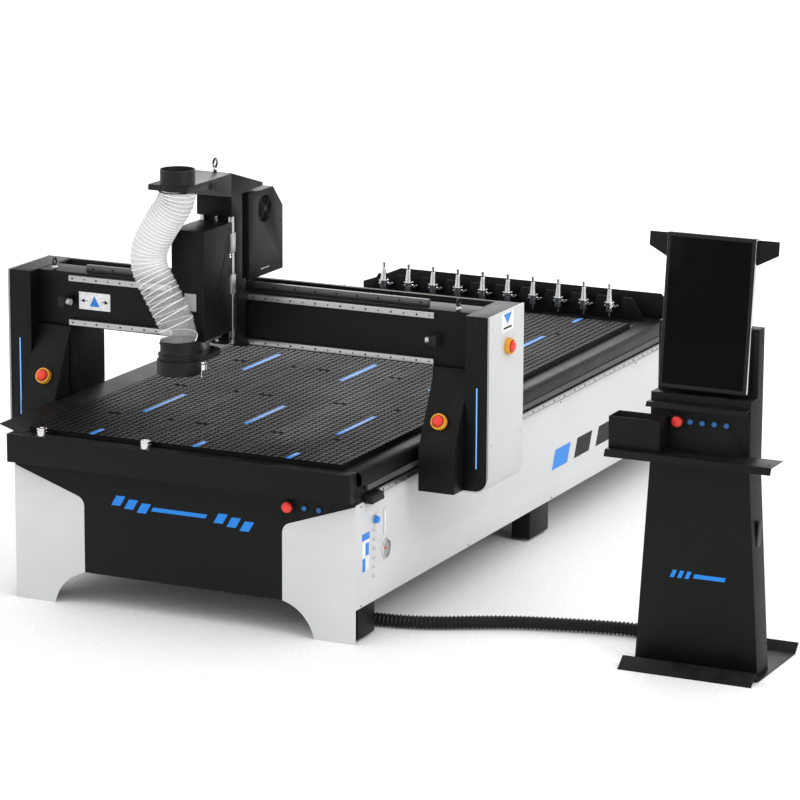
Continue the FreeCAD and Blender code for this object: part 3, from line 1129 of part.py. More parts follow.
def make_console():
    """A folded sheet column on a base plate, with shelves, holder box and monitor."""
    wall = "dim.sheet_wall"
    middle = "dim.console_x"

    def column_shape(word, inset, floor, cap, rear):
        half = f"dim.column_half - {inset}"
        lower = tapered(f"{word}_lower",
                        (floor, f"dim.column_foot - {inset}", f"dim.column_toe + {inset}", rear),
                        ("dim.column_taper", half, f"dim.column_face + {inset}", rear))
        middle_part = box(f"{word}_middle", (f"{middle} - ({half})", f"{middle} + {half}"),
                          (f"dim.column_face + {inset}", rear),
                          ("dim.column_taper", f"dim.column_shoulder - {inset}"))
        mast = box(f"{word}_mast", (f"{middle} - ({half})", f"{middle} + {half}"),
                   (f"dim.mast_face + {inset}", rear), (f"dim.column_shoulder - 20", cap))
        return fuse(word, lower, middle_part, mast)

    outer = column_shape("column_outer", "0", "dim.base_wall", "dim.column_cap", "dim.column_rear")
    room = column_shape("column_room", wall, f"dim.base_wall + {wall}", f"dim.column_cap - {wall}",
                        "dim.column_rear + 5")
    holes = [rod("desk_stop_hole", "dim.stop_stem + dim.press_gap",
                 (f"{middle} + dim.desk_stop_x", "dim.column_face - 10", "dim.desk_row_z"), "30", "Y")]
    for number in range(4):
        x = f"{middle} + dim.desk_press_x + {number} * dim.desk_press_step"
        holes.append(rod(f"desk_hole_{number}", "dim.press_radius + dim.press_gap",
                         (x, "dim.column_face - 10", "dim.desk_row_z"), "30", "Y"))
    half, foot = "dim.column_half", "dim.column_foot"
    points = [(f"{middle} - {foot}", "dim.base_wall"), (f"{middle} + {foot}", "dim.base_wall"),
              (f"{middle} + {half}", "dim.column_taper"), (f"{middle} + {half}", "dim.column_cap"),
              (f"{middle} - {half}", "dim.column_cap"), (f"{middle} - {half}", "dim.column_taper")]
    back = prism("column_back_cover", "XZ_Plane", points, ("dim.column_rear", f"dim.column_rear + {wall}"))
    node("console_column", cut("column_shell", outer, room, *holes), back)

    thick = "dim.base_wall"
    profile = [("dim.base_front", "0"), ("dim.base_front + 5", "0"), ("dim.base_front + 60", "40"),
               ("dim.base_front + 84", "0"), ("dim.base_back - 42", "0"), ("dim.base_back", "38"),
               ("dim.base_back - 4", "41"), ("dim.base_back - 44", thick), ("dim.base_front + 87", thick),
               ("dim.base_front + 60", "46")]
    node("console_base", prism("base_sheet", "YZ_Plane", profile,
                               (f"{middle} - dim.base_half", f"{middle} + dim.base_half")))

    def lipped(name, half, front, top, drop):
        profile = [("dim.column_face", top), (f"{front} + 14", top), (front, f"{top} - {drop}"),
                   (f"{front} + 3", f"{top} - {drop} - 1"), (f"{front} + 16", f"{top} - 3"),
                   ("dim.column_face", f"{top} - 3")]
        return prism(name, "YZ_Plane", profile, (f"{middle} - {half}", f"{middle} + {half}"))

    shelf = lipped("shelf_sheet", "dim.shelf_half", "dim.shelf_front", "dim.shelf_top", "28")
    ledge = lipped("ledge_sheet", "dim.ledge_half", "dim.ledge_front", "dim.ledge_top", "18")
    bin_x = (f"{middle} + dim.bin_left", f"{middle} + dim.bin_right")
    tub = box("bin_block", bin_x, ("dim.bin_front", "dim.column_face"), ("dim.shelf_top", "dim.bin_top"))
    tub_room = box("bin_room", (f"{bin_x[0]} + {wall}", f"{bin_x[1]} - {wall}"),
                   (f"dim.bin_front + {wall}", f"dim.column_face - {wall}"),
                   (f"dim.shelf_top + {wall}", "dim.bin_top + 5"))
    node("console_shelves", shelf, ledge, cut("holder_box", tub, tub_room))

    lean = Rotation(Vector(1, 0, 0), -size("screen_lean"))
    case = doc.addObject("Part::Box", "monitor_case")
    case.setExpression("Length", "dim.screen_half * 2")
    case.setExpression("Width", "dim.screen_deep")
    case.setExpression("Height", "dim.screen_tall")
    case.Placement = Placement(Vector(), lean)
    place(case, f"{middle} - dim.screen_half", "dim.screen_y", "dim.screen_z")
    node("monitor", case)
    tall = "dim.screen_tall"
    points = [("-dim.screen_half + 9", "60"), ("dim.screen_half - 9", "60"),
              ("dim.screen_half - 9", f"{tall} - 112"), ("dim.mount_half", f"{tall} - 62"),
              ("dim.mount_half", f"{tall} - 5"), ("-dim.mount_half", f"{tall} - 5"),
              ("-dim.mount_half", f"{tall} - 62"), ("-dim.screen_half + 9", f"{tall} - 112")]
    plate = prism("mount_plate", "XZ_Plane", points, ("0", "dim.mount_wall"))
    plate.Placement = Placement(Vector(), lean)
    depth = "dim.screen_deep + dim.mount_wall"
    place(plate, middle, f"dim.screen_y + ({depth}) * cos(dim.screen_lean * 1 deg)",
          f"dim.screen_z - ({depth}) * sin(dim.screen_lean * 1 deg)")
    back_of = f"dim.screen_y + ({depth}) / cos(dim.screen_lean * 1 deg)"
    slope = "tan(dim.screen_lean * 1 deg)"
    block_low, block_high = "dim.column_cap - 180", "dim.column_cap - 40"
    profile = [(f"{back_of} + ({block_low} - dim.screen_z) * {slope}", block_low),
               ("dim.mast_face", block_low), ("dim.mast_face", block_high),
               (f"{back_of} + ({block_high} - dim.screen_z) * {slope}", block_high)]
    wedge = prism("mount_wedge", "YZ_Plane", profile, (f"{middle} - 60", f"{middle} + 60"))
    node("monitor_mount", plate, wedge)


# ---------------------------------------------------------------- conduit
def swept_tube(route, radius, label):
    """A round bar along straight runs joined by tangent arcs. Each arc takes 0.45 of its shorter run."""
    edges = []
    start = route[0]
    radii = []
    for before, corner, after in zip(route, route[1:], route[2:]):
        come, go = corner - before, after - corner
        half_turn = come.getAngle(go) / 2
        shorter = min(come.Length, go.Length)
        bend = 0.45 * shorter / math.tan(half_turn)
        radii.append(bend)
        come.normalize()
        go.normalize()
        tangent = 0.45 * shorter
        first, last = corner - come * tangent, corner + go * tangent
        inward = go - come
        inward.normalize()
        centre = corner + inward * (bend / math.cos(half_turn))
        halfway = centre - inward * bend
        edges.append(Part.LineSegment(start, first).toShape())
        edges.append(Part.Arc(first, halfway, last).toShape())
        start = last
    edges.append(Part.LineSegment(start, route[-1]).toShape())
    path = Part.Wire(edges)
    ring = Part.Wire([Part.Circle(route[0], route[1] - route[0], radius).toShape()])
    tube = path.makePipeShell([ring], True, True)
    expected = math.pi * radius ** 2 * path.Length
    print(f"{label}: length {path.Length:.0f}, bend radii {[round(bend) for bend in radii]}, "
          f"volume {tube.Volume:.0f} against {expected:.0f}")
    return tube


def make_conduit():
    """The corrugated cable conduit on the floor, from the bed's junction box to the console's."""
    z = size("conduit_z")
    route = [Vector(x, y, z) for x, y in (
        (650, 292), (740, 292), (905, 315), (1045, 372), (1152, 434), (1255, 489), (1362, 534),
        (1470, 566), (1580, 596), (1690, 623), (1790, 643), (1868, 643),
    )]
    conduit = doc.addObject("Part::Feature", "conduit_bar")
    conduit.Shape = swept_tube(route, size("conduit_radius"), "conduit")
    node("conduit", conduit)

    ends = []
    first, last = route[0], route[-1]
    ends.append(box("bed_junction_box", (f"{first.x} - dim.gland_long - 90", f"{first.x} - dim.gland_long"),
                    (f"{first.y} - 50", f"{first.y} + 50"), ("1", "dim.panel_low")))
    carrier_x = ("-dim.bed_half + dim.sheet_wall", "dim.bed_half - dim.sheet_wall")
    ends.append(box("box_rail", carrier_x, (f"{first.y} - 30", f"{first.y} + 30"),
                    ("dim.panel_low", "dim.panel_low + 4")))
    ends.append(rod("bed_gland", "dim.conduit_radius",
                    (f"{first.x} - dim.gland_long", first.y, "dim.conduit_z"),
                    "dim.gland_long", "X"))
    ends.append(box("console_junction_box", (f"{last.x} + dim.gland_long", "dim.console_x + 20"),
                    ("dim.column_rear + 150", "dim.column_rear + 262"), ("dim.base_wall", "164")))
    ends.append(rod("console_gland", "dim.conduit_radius", (last.x, last.y, "dim.conduit_z"),
                    "dim.gland_long", "X"))
    node("conduit_glands", *ends)


make_frame()
make_front()
make_panels()
make_table()
make_ledges()
make_y_rails()
make_tools()
make_gantry()
make_x_rails()
make_y_carriages()
make_carriage()
make_electrical_box()
make_dust_duct()
make_z_head()
make_controls()
make_console()
make_conduit()

doc.recompute()
for thing in doc.Objects:
    if "Invalid" in thing.State or "Error" in thing.State:
        raise RuntimeError(f"{thing.Name} failed: {thing.State}")
for group in nodes:
    if group.Shape.isNull() or not group.Shape.isValid() or not group.Shape.Solids:
        raise RuntimeError(f"{group.Label} has no valid solid")

os.makedirs("parts", exist_ok=True)
for group in nodes:
    group.Shape.exportStep(f"parts/{group.Label}.step")
print(f"{len(nodes)} nodes written")
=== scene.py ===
"""Finishes a moving-gantry CNC router and its operator console for a studio view.

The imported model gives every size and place. This file adds the finishes and the small
pieces: screws, teeth, grooves, buttons, labels, the dust hose and the cable conduit.
"""
import json
import math
import bpy
from bpy.props import FloatProperty, FloatVectorProperty, IntProperty
from mathutils import Matrix, Vector


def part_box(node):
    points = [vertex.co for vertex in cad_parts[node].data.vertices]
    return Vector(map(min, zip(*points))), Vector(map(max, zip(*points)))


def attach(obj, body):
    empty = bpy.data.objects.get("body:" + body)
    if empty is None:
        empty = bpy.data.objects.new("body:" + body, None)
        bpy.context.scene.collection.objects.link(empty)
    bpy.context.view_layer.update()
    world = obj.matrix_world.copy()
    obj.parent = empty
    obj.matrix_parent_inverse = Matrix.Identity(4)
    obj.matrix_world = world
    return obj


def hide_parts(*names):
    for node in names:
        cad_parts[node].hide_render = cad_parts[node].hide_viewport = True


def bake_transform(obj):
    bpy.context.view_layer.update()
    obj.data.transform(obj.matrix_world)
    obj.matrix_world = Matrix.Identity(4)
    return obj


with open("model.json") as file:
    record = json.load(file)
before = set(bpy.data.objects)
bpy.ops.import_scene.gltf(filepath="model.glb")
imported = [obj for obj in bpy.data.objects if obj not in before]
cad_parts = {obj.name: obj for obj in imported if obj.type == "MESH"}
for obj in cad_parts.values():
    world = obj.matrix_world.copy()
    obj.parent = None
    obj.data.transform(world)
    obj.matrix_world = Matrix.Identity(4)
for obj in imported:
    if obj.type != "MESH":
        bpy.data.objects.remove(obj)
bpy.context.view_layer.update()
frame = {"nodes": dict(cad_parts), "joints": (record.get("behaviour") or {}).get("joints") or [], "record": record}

bl_info = {
    "name": "CNC Router Finisher",
    "version": (1, 0, 0),
    "blender": (4, 5, 0),
    "location": "3D View > Sidebar > Router",
    "description": "Finishes a moving-gantry router: sheet metal, rails, table, head, hose and console",
    "category": "Object",
}

MM = 0.001
BODY_OF = {node: name for name, nodes in frame["record"]["behaviour"]["bodies"].items() for node in nodes}
FRONT_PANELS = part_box("leg_panels")
DATUM = Vector(((FRONT_PANELS[0].x + FRONT_PANELS[1].x) / 2, FRONT_PANELS[0].y, 0))
UP, RIGHT, BACK = Vector((0, 0, 1)), Vector((1, 0, 0)), Vector((0, 1, 0))
LEFT, FRONT, DOWN = -RIGHT, -BACK, -UP


def at(x, y, z):
    """A point given in millimetres from the bed's datum: its middle, its front face, the floor."""
    return DATUM + Vector((x, y, z)) * MM


def middle(node):
    low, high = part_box(node)
    return (low + high) / 2


# ---------------------------------------------------------------- sizes and colours
class RouterSizes(bpy.types.PropertyGroup):
    edge: FloatProperty(name="Edge", description="Rounding of sheet metal edges", default=1.6 * MM,
                        unit="LENGTH")
    cells_across: IntProperty(name="Cells across", description="Table cells across the bed", default=45)
    cells_along: IntProperty(name="Cells along", description="Table cells along the bed", default=94)
    groove: FloatProperty(name="Groove", description="Half width of the table grooves", default=4.2 * MM,
                          unit="LENGTH")
    hole_pitch: FloatProperty(name="Hole pitch", description="Distance between rail holes",
                              default=60 * MM, unit="LENGTH")
    tooth_pitch: FloatProperty(name="Tooth pitch", description="Distance between rack teeth",
                               default=10 * MM, unit="LENGTH")
    hose_turns: IntProperty(name="Hose turns", description="Wire turns in the dust hose", default=34)
    rib_pitch: FloatProperty(name="Rib pitch", description="Distance between the conduit's ribs",
                             default=17.5 * MM, unit="LENGTH")


class RouterColours(bpy.types.PropertyGroup):
    black: FloatVectorProperty(name="Black coat", description="Powder coat of the dark sheet metal",
                               subtype="COLOR", default=(0.0045, 0.0046, 0.0049))
    white: FloatVectorProperty(name="White coat", description="Powder coat of the light panels",
                               subtype="COLOR", default=(0.54, 0.545, 0.55))
    board: FloatVectorProperty(name="Board", description="Table board", subtype="COLOR",
                               default=(0.0022, 0.0022, 0.0024))
    blue: FloatVectorProperty(name="Blue", description="Blue strips and lines", subtype="COLOR",
                              default=(0.022, 0.20, 0.62))
    red: FloatVectorProperty(name="Red", description="Stop buttons", subtype="COLOR",
                             default=(0.68, 0.035, 0.025))
    yellow: FloatVectorProperty(name="Yellow", description="Stop button rings", subtype="COLOR",
                                default=(0.66, 0.30, 0.02))


# ---------------------------------------------------------------- materials
class Value:
    """A node's output, with Python's arithmetic adding the Math nodes."""

    def __init__(self, finish, socket):
        self.finish = finish
        self.socket = socket

    def _math(self, operation, *values):
        return self.finish.node("ShaderNodeMath", {"operation": operation}, *values)

    def __add__(self, other):
        return self._math("ADD", self, other)

    def __sub__(self, other):
        return self._math("SUBTRACT", self, other)

    def __rsub__(self, other):
        return self._math("SUBTRACT", other, self)

    def __mul__(self, other):
        return self._math("MULTIPLY", self, other)

    def __truediv__(self, other):
        return self._math("DIVIDE", self, other)

    def __gt__(self, other):
        return self._math("GREATER_THAN", self, other)

    def __pow__(self, other):
        return self._math("POWER", self, other)

    __radd__ = __add__
    __rmul__ = __mul__


class Finish:
    """A procedural material on Principled BSDF."""

    def __init__(self, name, color=(0.5, 0.5, 0.5), **constants):
        self.name = name
        self.material = bpy.data.materials.new(f"router_{name}")
        self.material.use_nodes = True
        self.tree = self.material.node_tree
        self.shader = self.tree.nodes["Principled BSDF"]
        self.put("Base Color", color)
        for key, value in constants.items():
            self.put(key.replace("_", " ").title().replace("Ior", "IOR"), value)
        self.places = self.node("ShaderNodeTexCoord", {}, output="Object")

    def node(self, kind, settings, *values, output=0, **named):
        made = self.tree.nodes.new(kind)
        for key, value in settings.items():
            setattr(made, key, value)
        pairs = list(enumerate(values)) + [(key.replace("_", " "), value) for key, value in named.items()]
        for key, value in pairs:
            self.feed(made.inputs[key], value)
        return Value(self, made.outputs[output])

    def feed(self, socket, value):
        if isinstance(value, Value):
            self.tree.links.new(value.socket, socket)
        elif hasattr(socket.default_value, "__len__") and len(value) < len(socket.default_value):
            socket.default_value = (*value, 1)
        else:
            socket.default_value = value

    def put(self, key, value):
        self.feed(self.shader.inputs[key], value)
        return self

    def noise(self, scale, detail=2.0, stretch=(1, 1, 1), roughness=0.5):
        place = self.node("ShaderNodeMapping", {}, self.places, Scale=stretch)
        return self.node("ShaderNodeTexNoise", {}, Vector=place, Scale=scale, Detail=detail,
                         Roughness=roughness)

    def spread(self, value, low, high):
        """A value between 0 and 1 carried to another range."""
        return value * (high - low) + low

    def step(self, value, start, end):
        return self.node("ShaderNodeMapRange", {"interpolation_type": "SMOOTHSTEP"}, value, start, end, 0, 1)

    def mix(self, mask, low, high):
        made = self.tree.nodes.new("ShaderNodeMix")
        made.data_type = "RGBA"
        for number, value in ((0, mask), (6, low), (7, high)):
            self.feed(made.inputs[number], value)
        return Value(self, made.outputs[2])

    def axis(self, letter):
        return self.node("ShaderNodeSeparateXYZ", {}, self.places, output=letter)

    def bump(self, height, strength=0.3, distance=0.0005):
        self.put("Normal", self.node("ShaderNodeBump", {}, Strength=strength, Distance=distance,
                                     Height=height))
        return self


def powder_coat(name, color, roughness, dust):
    """Orange-peel powder coat with faint handling marks and dust on upward faces."""
    finish = Finish(name, roughness=roughness, specular_ior_level=0.14)
    cloud = finish.noise(2.2, 4)
    facing = finish.node("ShaderNodeSeparateXYZ", {},
                         finish.node("ShaderNodeNewGeometry", {}, output="Normal"),
                         output="Z")
    mask = finish.step(facing, 0.5, 1.0) * finish.step(finish.noise(14, 5), 0.35, 0.75) * dust
    tone = tuple(min(1, channel * 1.22) for channel in color)
    finish.put("Base Color", finish.mix(mask, finish.mix(cloud, color, tone), (0.32, 0.31, 0.30)))
    finish.put("Roughness", finish.spread(finish.noise(9, 3), roughness - 0.07, roughness + 0.09))
    return finish.bump(finish.noise(650, 1), 0.10, 0.0004)


def ground_steel(name, color, roughness, stretch):
    """Ground steel with fine lines along one direction."""
    finish = Finish(name, metallic=1.0)
    lines = finish.noise(420, 2, stretch)
    stain = finish.noise(6, 4)
    dull = tuple(channel * 0.72 for channel in color)
    finish.put("Base Color", finish.mix(finish.spread(lines, 0.1, 0.6) * stain * 1.6, color, dull))
    finish.put("Roughness", finish.spread(lines, roughness - 0.06, roughness + 0.12))
    return finish.bump(lines, 0.12, 0.0002)


def moulded(name, color, roughness, grain=900, coat=0.0):
    """Moulded plastic with a fine grain and slight shade changes."""
    finish = Finish(name, roughness=roughness, specular_ior_level=0.22, coat_weight=coat, coat_roughness=0.12)
    pale = tuple(min(1, channel * 1.3 + 0.002) for channel in color)
    finish.put("Base Color", finish.mix(finish.step(finish.noise(60, 4), 0.3, 0.8), color, pale))
    finish.put("Roughness", finish.spread(finish.noise(120, 2), roughness - 0.06, roughness + 0.06))
    return finish.bump(finish.noise(grain, 2), 0.15, 0.0002)


def table_board(color):
    """Phenolic board: pad tops painted paler and grooves painted black by height, as painted shade in the grooves,
    with worn patches and rubbed scratches on the pads.
    """
    finish = Finish("table_board", specular_ior_level=0.08)
    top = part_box("vacuum_table")[1].z
    # Painted shade: faces below the pad tops keep the dark board colour, while the pad tops go up to nine times
    # paler.
    lit_pads_shaded_grooves = finish.step(finish.axis("Z"), top - 3.5 * MM, top - 1.2 * MM)
    wear = finish.step(finish.noise(3.1, 6, (1, 0.6, 1)), 0.3, 0.8)
    scratch = finish.noise(260, 2, (0.06, 1, 1)) * finish.noise(18, 3)
    pale = tuple(channel * 9 for channel in color)
    finish.put("Base Color", finish.mix(lit_pads_shaded_grooves * (wear * 0.4 + scratch * 0.4 + 0.35), color, pale))
    finish.put("Roughness", finish.spread(wear, 0.52, 0.40))
    return finish.bump(finish.noise(900, 2), 0.12, 0.0003)


def hose_film():
    """Clear film over the wire: cloudy in the close upper turns, clear in the open lower ones."""
    finish = Finish("hose_film", (0.70, 0.705, 0.71), roughness=0.22, specular_ior_level=0.5)
    low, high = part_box("dust_hose")
    cloudy = finish.step(finish.axis("Z"), low.z + 0.22, high.z - 0.25)
    wrinkle = finish.noise(55, 4, (1, 1, 3))
    collar = finish.step(finish.axis("Z"), high.z - 0.13, high.z - 0.03)
    milky = cloudy * (1 - collar * 0.62)
    finish.put("Alpha", finish.spread(milky, 0.12, 0.84) + finish.spread(wrinkle, -0.10, 0.12))
    finish.put("Roughness", finish.spread(wrinkle, 0.18, 0.42))
    return finish.bump(wrinkle, 0.5, 0.002)


def screen_glass():
    """A dark switched-off screen under smooth glass, a little uneven all over."""
    finish = Finish("screen_glass", roughness=0.12, specular_ior_level=0.05)
    haze = finish.noise(7, 4)
    finish.put("Base Color", finish.mix(haze, (0.0006, 0.0006, 0.0007), (0.002, 0.002, 0.0023)))
    return finish.put("Roughness", finish.spread(haze, 0.10, 0.20))


def glow(name, color, strength):
    """A small lit lens with brighter patches at random."""
    finish = Finish(name, color, roughness=0.3, emission_strength=strength)
    finish.put("Emission Color", finish.mix(finish.noise(300, 2), color, (1, 1, 1)))
    return finish.put("Roughness", finish.spread(finish.noise(200, 2), 0.25, 0.4))


def build_finishes():
    tint = bpy.context.scene.router_colours
    black, white, blue = tuple(tint.black), tuple(tint.white), tuple(tint.blue)
    made = [
        powder_coat("black_coat", black, 0.44, 0.03),
        powder_coat("white_coat", white, 0.42, 0.06),
        powder_coat("pale_trim", (0.30, 0.305, 0.31), 0.45, 0.05),
        powder_coat("blue_line", blue, 0.32, 0.0),
        table_board(tuple(tint.board)),
        moulded("blue_strip", blue, 0.38, 400),
        ground_steel("rail_steel", (0.46, 0.465, 0.47), 0.32, (1, 0.02, 1)),
        ground_steel("cross_steel", (0.46, 0.465, 0.47), 0.32, (0.02, 1, 1)),
        ground_steel("upright_steel", (0.60, 0.605, 0.61), 0.26, (1, 1, 0.02)),
        ground_steel("bright_steel", (0.74, 0.745, 0.75), 0.14, (1, 1, 0.2)),
        ground_steel("rack_steel", (0.13, 0.13, 0.135), 0.42, (1, 1, 0.1)),
        ground_steel("machined", (0.52, 0.525, 0.53), 0.34, (1, 0.3, 0.05)),
        moulded("black_plastic", (0.0045, 0.0045, 0.0048), 0.42, 700),
        moulded("shadow", (0.0012, 0.0012, 0.0012), 0.7),
        moulded("red_plastic", tuple(tint.red), 0.30, 600, 0.3),
        moulded("yellow_plastic", tuple(tint.yellow), 0.34, 600, 0.2),
        moulded("button_blue", (0.02, 0.12, 0.32), 0.30, 500, 0.1),
        moulded("cast_black", (0.009, 0.009, 0.0095), 0.55, 180),
        moulded("label_white", (0.72, 0.73, 0.74), 0.45, 500),
        hose_film(),
        moulded("hose_wire", (0.86, 0.87, 0.88), 0.30, 500, 0.3),
        screen_glass(),
        glow("lamp_white", (0.9, 0.92, 1.0), 2.0),
        glow("lamp_blue", (0.05, 0.35, 1.0), 0.35),
        moulded("studio_floor", (0.90, 0.90, 0.90), 0.75, 60),
    ]
    return {finish.name: finish.material for finish in made}


FINISHES = {}


# ---------------------------------------------------------------- modelling helpers
def deselect():
    if bpy.context.mode != "OBJECT":
        bpy.ops.object.mode_set(mode="OBJECT")
    bpy.ops.object.select_all(action="DESELECT")


def activate(piece):
    deselect()
    piece.select_set(True)
    bpy.context.view_layer.objects.active = piece
    return piece


def apply_modifier(piece, kind, **settings):
    activate(piece)
    modifier = piece.modifiers.new(kind.title(), kind)
    for key, value in settings.items():
        setattr(modifier, key, value)
    bpy.ops.object.modifier_apply(modifier=modifier.name)
    return piece


def soften(piece, width, segments=2, angle=32):
    """Rounds the sharp edges and shades the faces between them."""
    if width:
        apply_modifier(piece, "BEVEL", width=width, segments=segments, limit_method="ANGLE",
                       angle_limit=math.radians(angle), use_clamp_overlap=True)
    activate(piece)
    bpy.ops.object.shade_smooth_by_angle(angle=math.radians(angle))
    return piece


def moved(piece, matrix):
    """Carries the mesh itself, so that the object stays at the origin."""
    piece.data.transform(matrix)
    piece.data.update()
    return piece


def turned_to(direction, place):
    """The matrix that points +Z along a direction and then moves to a place."""
    return Matrix.Translation(place) @ UP.rotation_difference(direction).to_matrix().to_4x4()


def finish_piece(piece, name, finish, body):
    """Names a piece, gives it its finish and lets it ride on its body."""
    piece.name = name
    piece.data.materials.clear()
    piece.data.materials.append(FINISHES[finish])
    if body:
        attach(piece, body)
    return piece


def block(low, high, edge=1.0 * MM, segments=2):
    """A block between two corners with rounded edges."""
    deselect()
    low, high = Vector(low), Vector(high)
    size = [abs(high[i] - low[i]) for i in range(3)]
    bpy.ops.mesh.primitive_cube_add(size=1, location=(low + high) / 2, scale=size)
    bpy.ops.object.transform_apply(location=True, rotation=True, scale=True)
    return soften(bpy.context.active_object, min(edge, min(size) * 0.4), segments)


def stack(sections, sides=28, angle=30):
    """A round piece along +Z, extruded from section to section, each a radius and a height in mm."""
    deselect()
    radius, height = sections[0]
    bpy.ops.mesh.primitive_circle_add(vertices=sides, radius=radius * MM, fill_type="NGON",
                                      location=(0, 0, height * MM))
    bpy.ops.object.transform_apply(location=True, rotation=True, scale=True)
    bpy.ops.object.mode_set(mode="EDIT")
    bpy.ops.mesh.select_all(action="SELECT")
    for next_radius, next_height in sections[1:]:
        bpy.ops.mesh.extrude_region_move(
            TRANSFORM_OT_translate={"value": (0, 0, (next_height - height) * MM)})
        ratio = next_radius / radius
        bpy.ops.transform.resize(value=(ratio, ratio, 1))
        radius, height = next_radius, next_height
    bpy.ops.mesh.select_all(action="SELECT")
    bpy.ops.mesh.normals_make_consistent(inside=False)
    bpy.ops.object.mode_set(mode="OBJECT")
    return soften(bpy.context.active_object, 0, angle=angle)


def copies(master, matrices):
    """The master repeated at each place and joined into one piece. The master is used up."""
    made = []
    for matrix in matrices:
        twin = master.copy()
        twin.data = master.data.copy()
        twin.data.transform(matrix)
        bpy.context.scene.collection.objects.link(twin)
        made.append(twin)
    bpy.data.objects.remove(master)
    return joined(made)


def joined(parts):
    deselect()
    for part in parts:
        part.select_set(True)
    bpy.context.view_layer.objects.active = parts[0]
    if len(parts) > 1:
        bpy.ops.object.join()
    return bpy.context.view_layer.objects.active


def cad_copy(node, edge=None, segments=2, angle=32):
    """A copy of a CAD node with its doubles merged, flat faces whole and edges rounded."""
    source = frame["nodes"][node]
    piece = bpy.data.objects.new(f"{node}_finished", source.data.copy())
    bpy.context.scene.collection.objects.link(piece)
    activate(piece)
    bpy.ops.object.mode_set(mode="EDIT")
    bpy.ops.mesh.select_all(action="SELECT")
    bpy.ops.mesh.remove_doubles(threshold=1e-5)
    bpy.ops.mesh.dissolve_limited(angle_limit=math.radians(1.0))
    bpy.ops.object.mode_set(mode="OBJECT")
    width = bpy.context.scene.router_sizes.edge if edge is None else edge
    soften(piece, width, segments, angle)
    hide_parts(node)
    return piece


def dressed(node, finish, edge=None, segments=2, angle=32):
    """A CAD node's finished copy, riding on the same body."""
    piece = cad_copy(node, edge, segments, angle)
    return finish_piece(piece, f"{node}_finished", finish, BODY_OF[node])


def plate(places, normal, finish, body, name, lift=0.6 * MM):
    """A flat strip or plate from its outline's corners, raised a little along its normal."""
    mesh = bpy.data.meshes.new(name)
    low = [Vector(place) for place in places]
    mesh.from_pydata(low, [], [list(range(len(low)))])
    piece = bpy.data.objects.new(name, mesh)
    bpy.context.scene.collection.objects.link(piece)
    activate(piece)
    bpy.ops.object.mode_set(mode="EDIT")
    bpy.ops.mesh.select_all(action="SELECT")
    bpy.ops.mesh.extrude_region_move(TRANSFORM_OT_translate={"value": Vector(normal).normalized() * lift})
    bpy.ops.mesh.select_all(action="SELECT")
    bpy.ops.mesh.normals_make_consistent(inside=False)
    bpy.ops.object.mode_set(mode="OBJECT")
    soften(piece, lift * 0.3, 1)
    return finish_piece(piece, name, finish, body)


def screws(name, places, direction, body, radius=4.5, finish="cast_black"):
    """Button-head screws with a hexagon recess, one joined piece."""
    head = stack([(radius, -1), (radius, 0.8), (radius * 0.82, 2.0), (radius * 0.5, 2.5)], 16)
    recess = stack([(radius * 0.42, 2.0), (radius * 0.42, 2.6)], 6)
    both = joined([head, recess])
    piece = copies(both, [turned_to(direction, place) for place in places])
    return finish_piece(piece, name, finish, body)


# ---------------------------------------------------------------- stage
class ROUTER_OT_stage(bpy.types.Operator):
    """Adds the floor, the soft lights and the camera"""

    bl_idname = "router.stage"
    bl_label = "Stage"

    def execute(self, context):
        deselect()
        bpy.ops.mesh.primitive_plane_add(size=80, location=(0, 0, 0))
        floor = context.active_object
        floor.name = "studio_floor"
        floor.data.materials.append(FINISHES["studio_floor"])
        world = bpy.data.worlds.new("studio")
        world.use_nodes = True
        world.node_tree.nodes["Background"].inputs["Color"].default_value = (1, 1, 1, 1)
        world.node_tree.nodes["Background"].inputs["Strength"].default_value = 1.08
        context.scene.world = world
        context.scene.view_settings.view_transform = "Standard"
        for name, place, size, power in (
            ("key", (8.5, -4.0, 6.5), 5.0, 300),
            ("fill", (-6.5, -8.0, 6.0), 5.0, 70),
            ("rim", (-3.0, 8.0, 6.0), 6.0, 320),
        ):
            data = bpy.data.lights.new(name, "AREA")
            data.energy = power
            data.size = size
            lamp = bpy.data.objects.new(name, data)
            lamp.location = place
            lamp.rotation_euler = (Vector((0, 0, 0.8)) - lamp.location).to_track_quat("-Z", "Y").to_euler()
            context.scene.collection.objects.link(lamp)
        lens = bpy.data.cameras.new("camera")
        lens.lens = 173.94
        lens.sensor_width = 36
        lens.clip_end = 200
        camera = bpy.data.objects.new("camera", lens)
        camera.location = at(7634, -13867, 4684)
        camera.rotation_euler = [math.radians(value) for value in (90 - 13.23, -0.284, 25.566)]
        context.scene.collection.objects.link(camera)
        context.scene.camera = camera
        return {"FINISHED"}


# ---------------------------------------------------------------- conduit and hose
def smooth_line(route):
    """Points along the smooth line that a route's control points give."""
    curve = bpy.data.curves.new("line", "CURVE")
    curve.dimensions = "3D"
    spline = curve.splines.new("NURBS")
    spline.points.add(len(route) - 1)
    for point, place in zip(spline.points, route):
        point.co = (*place, 1)
    spline.order_u = 3
    spline.use_endpoint_u = True
    spline.resolution_u = 24
    holder = bpy.data.objects.new("line", curve)
    bpy.context.scene.collection.objects.link(holder)
    mesh = bpy.data.meshes.new_from_object(holder)
    points = [vertex.co.copy() for vertex in mesh.vertices]
    bpy.data.objects.remove(holder)
    return points


def spaced(points, count):
    """The same line as evenly spaced points, with the direction at each."""
    lengths = [0.0]
    for start, end in zip(points, points[1:]):
        lengths.append(lengths[-1] + (end - start).length)
    made = []
    step = 0
    for index in range(count + 1):
        goal = lengths[-1] * index / count
        while step < len(points) - 2 and lengths[step + 1] < goal:
            step += 1
        run = lengths[step + 1] - lengths[step]
        made.append(points[step].lerp(points[step + 1], (goal - lengths[step]) / run))
    directions = []
    for index in range(count + 1):
        before, after = made[max(index - 1, 0)], made[min(index + 1, count)]
        directions.append((after - before).normalized())
    return made, directions, lengths[-1]


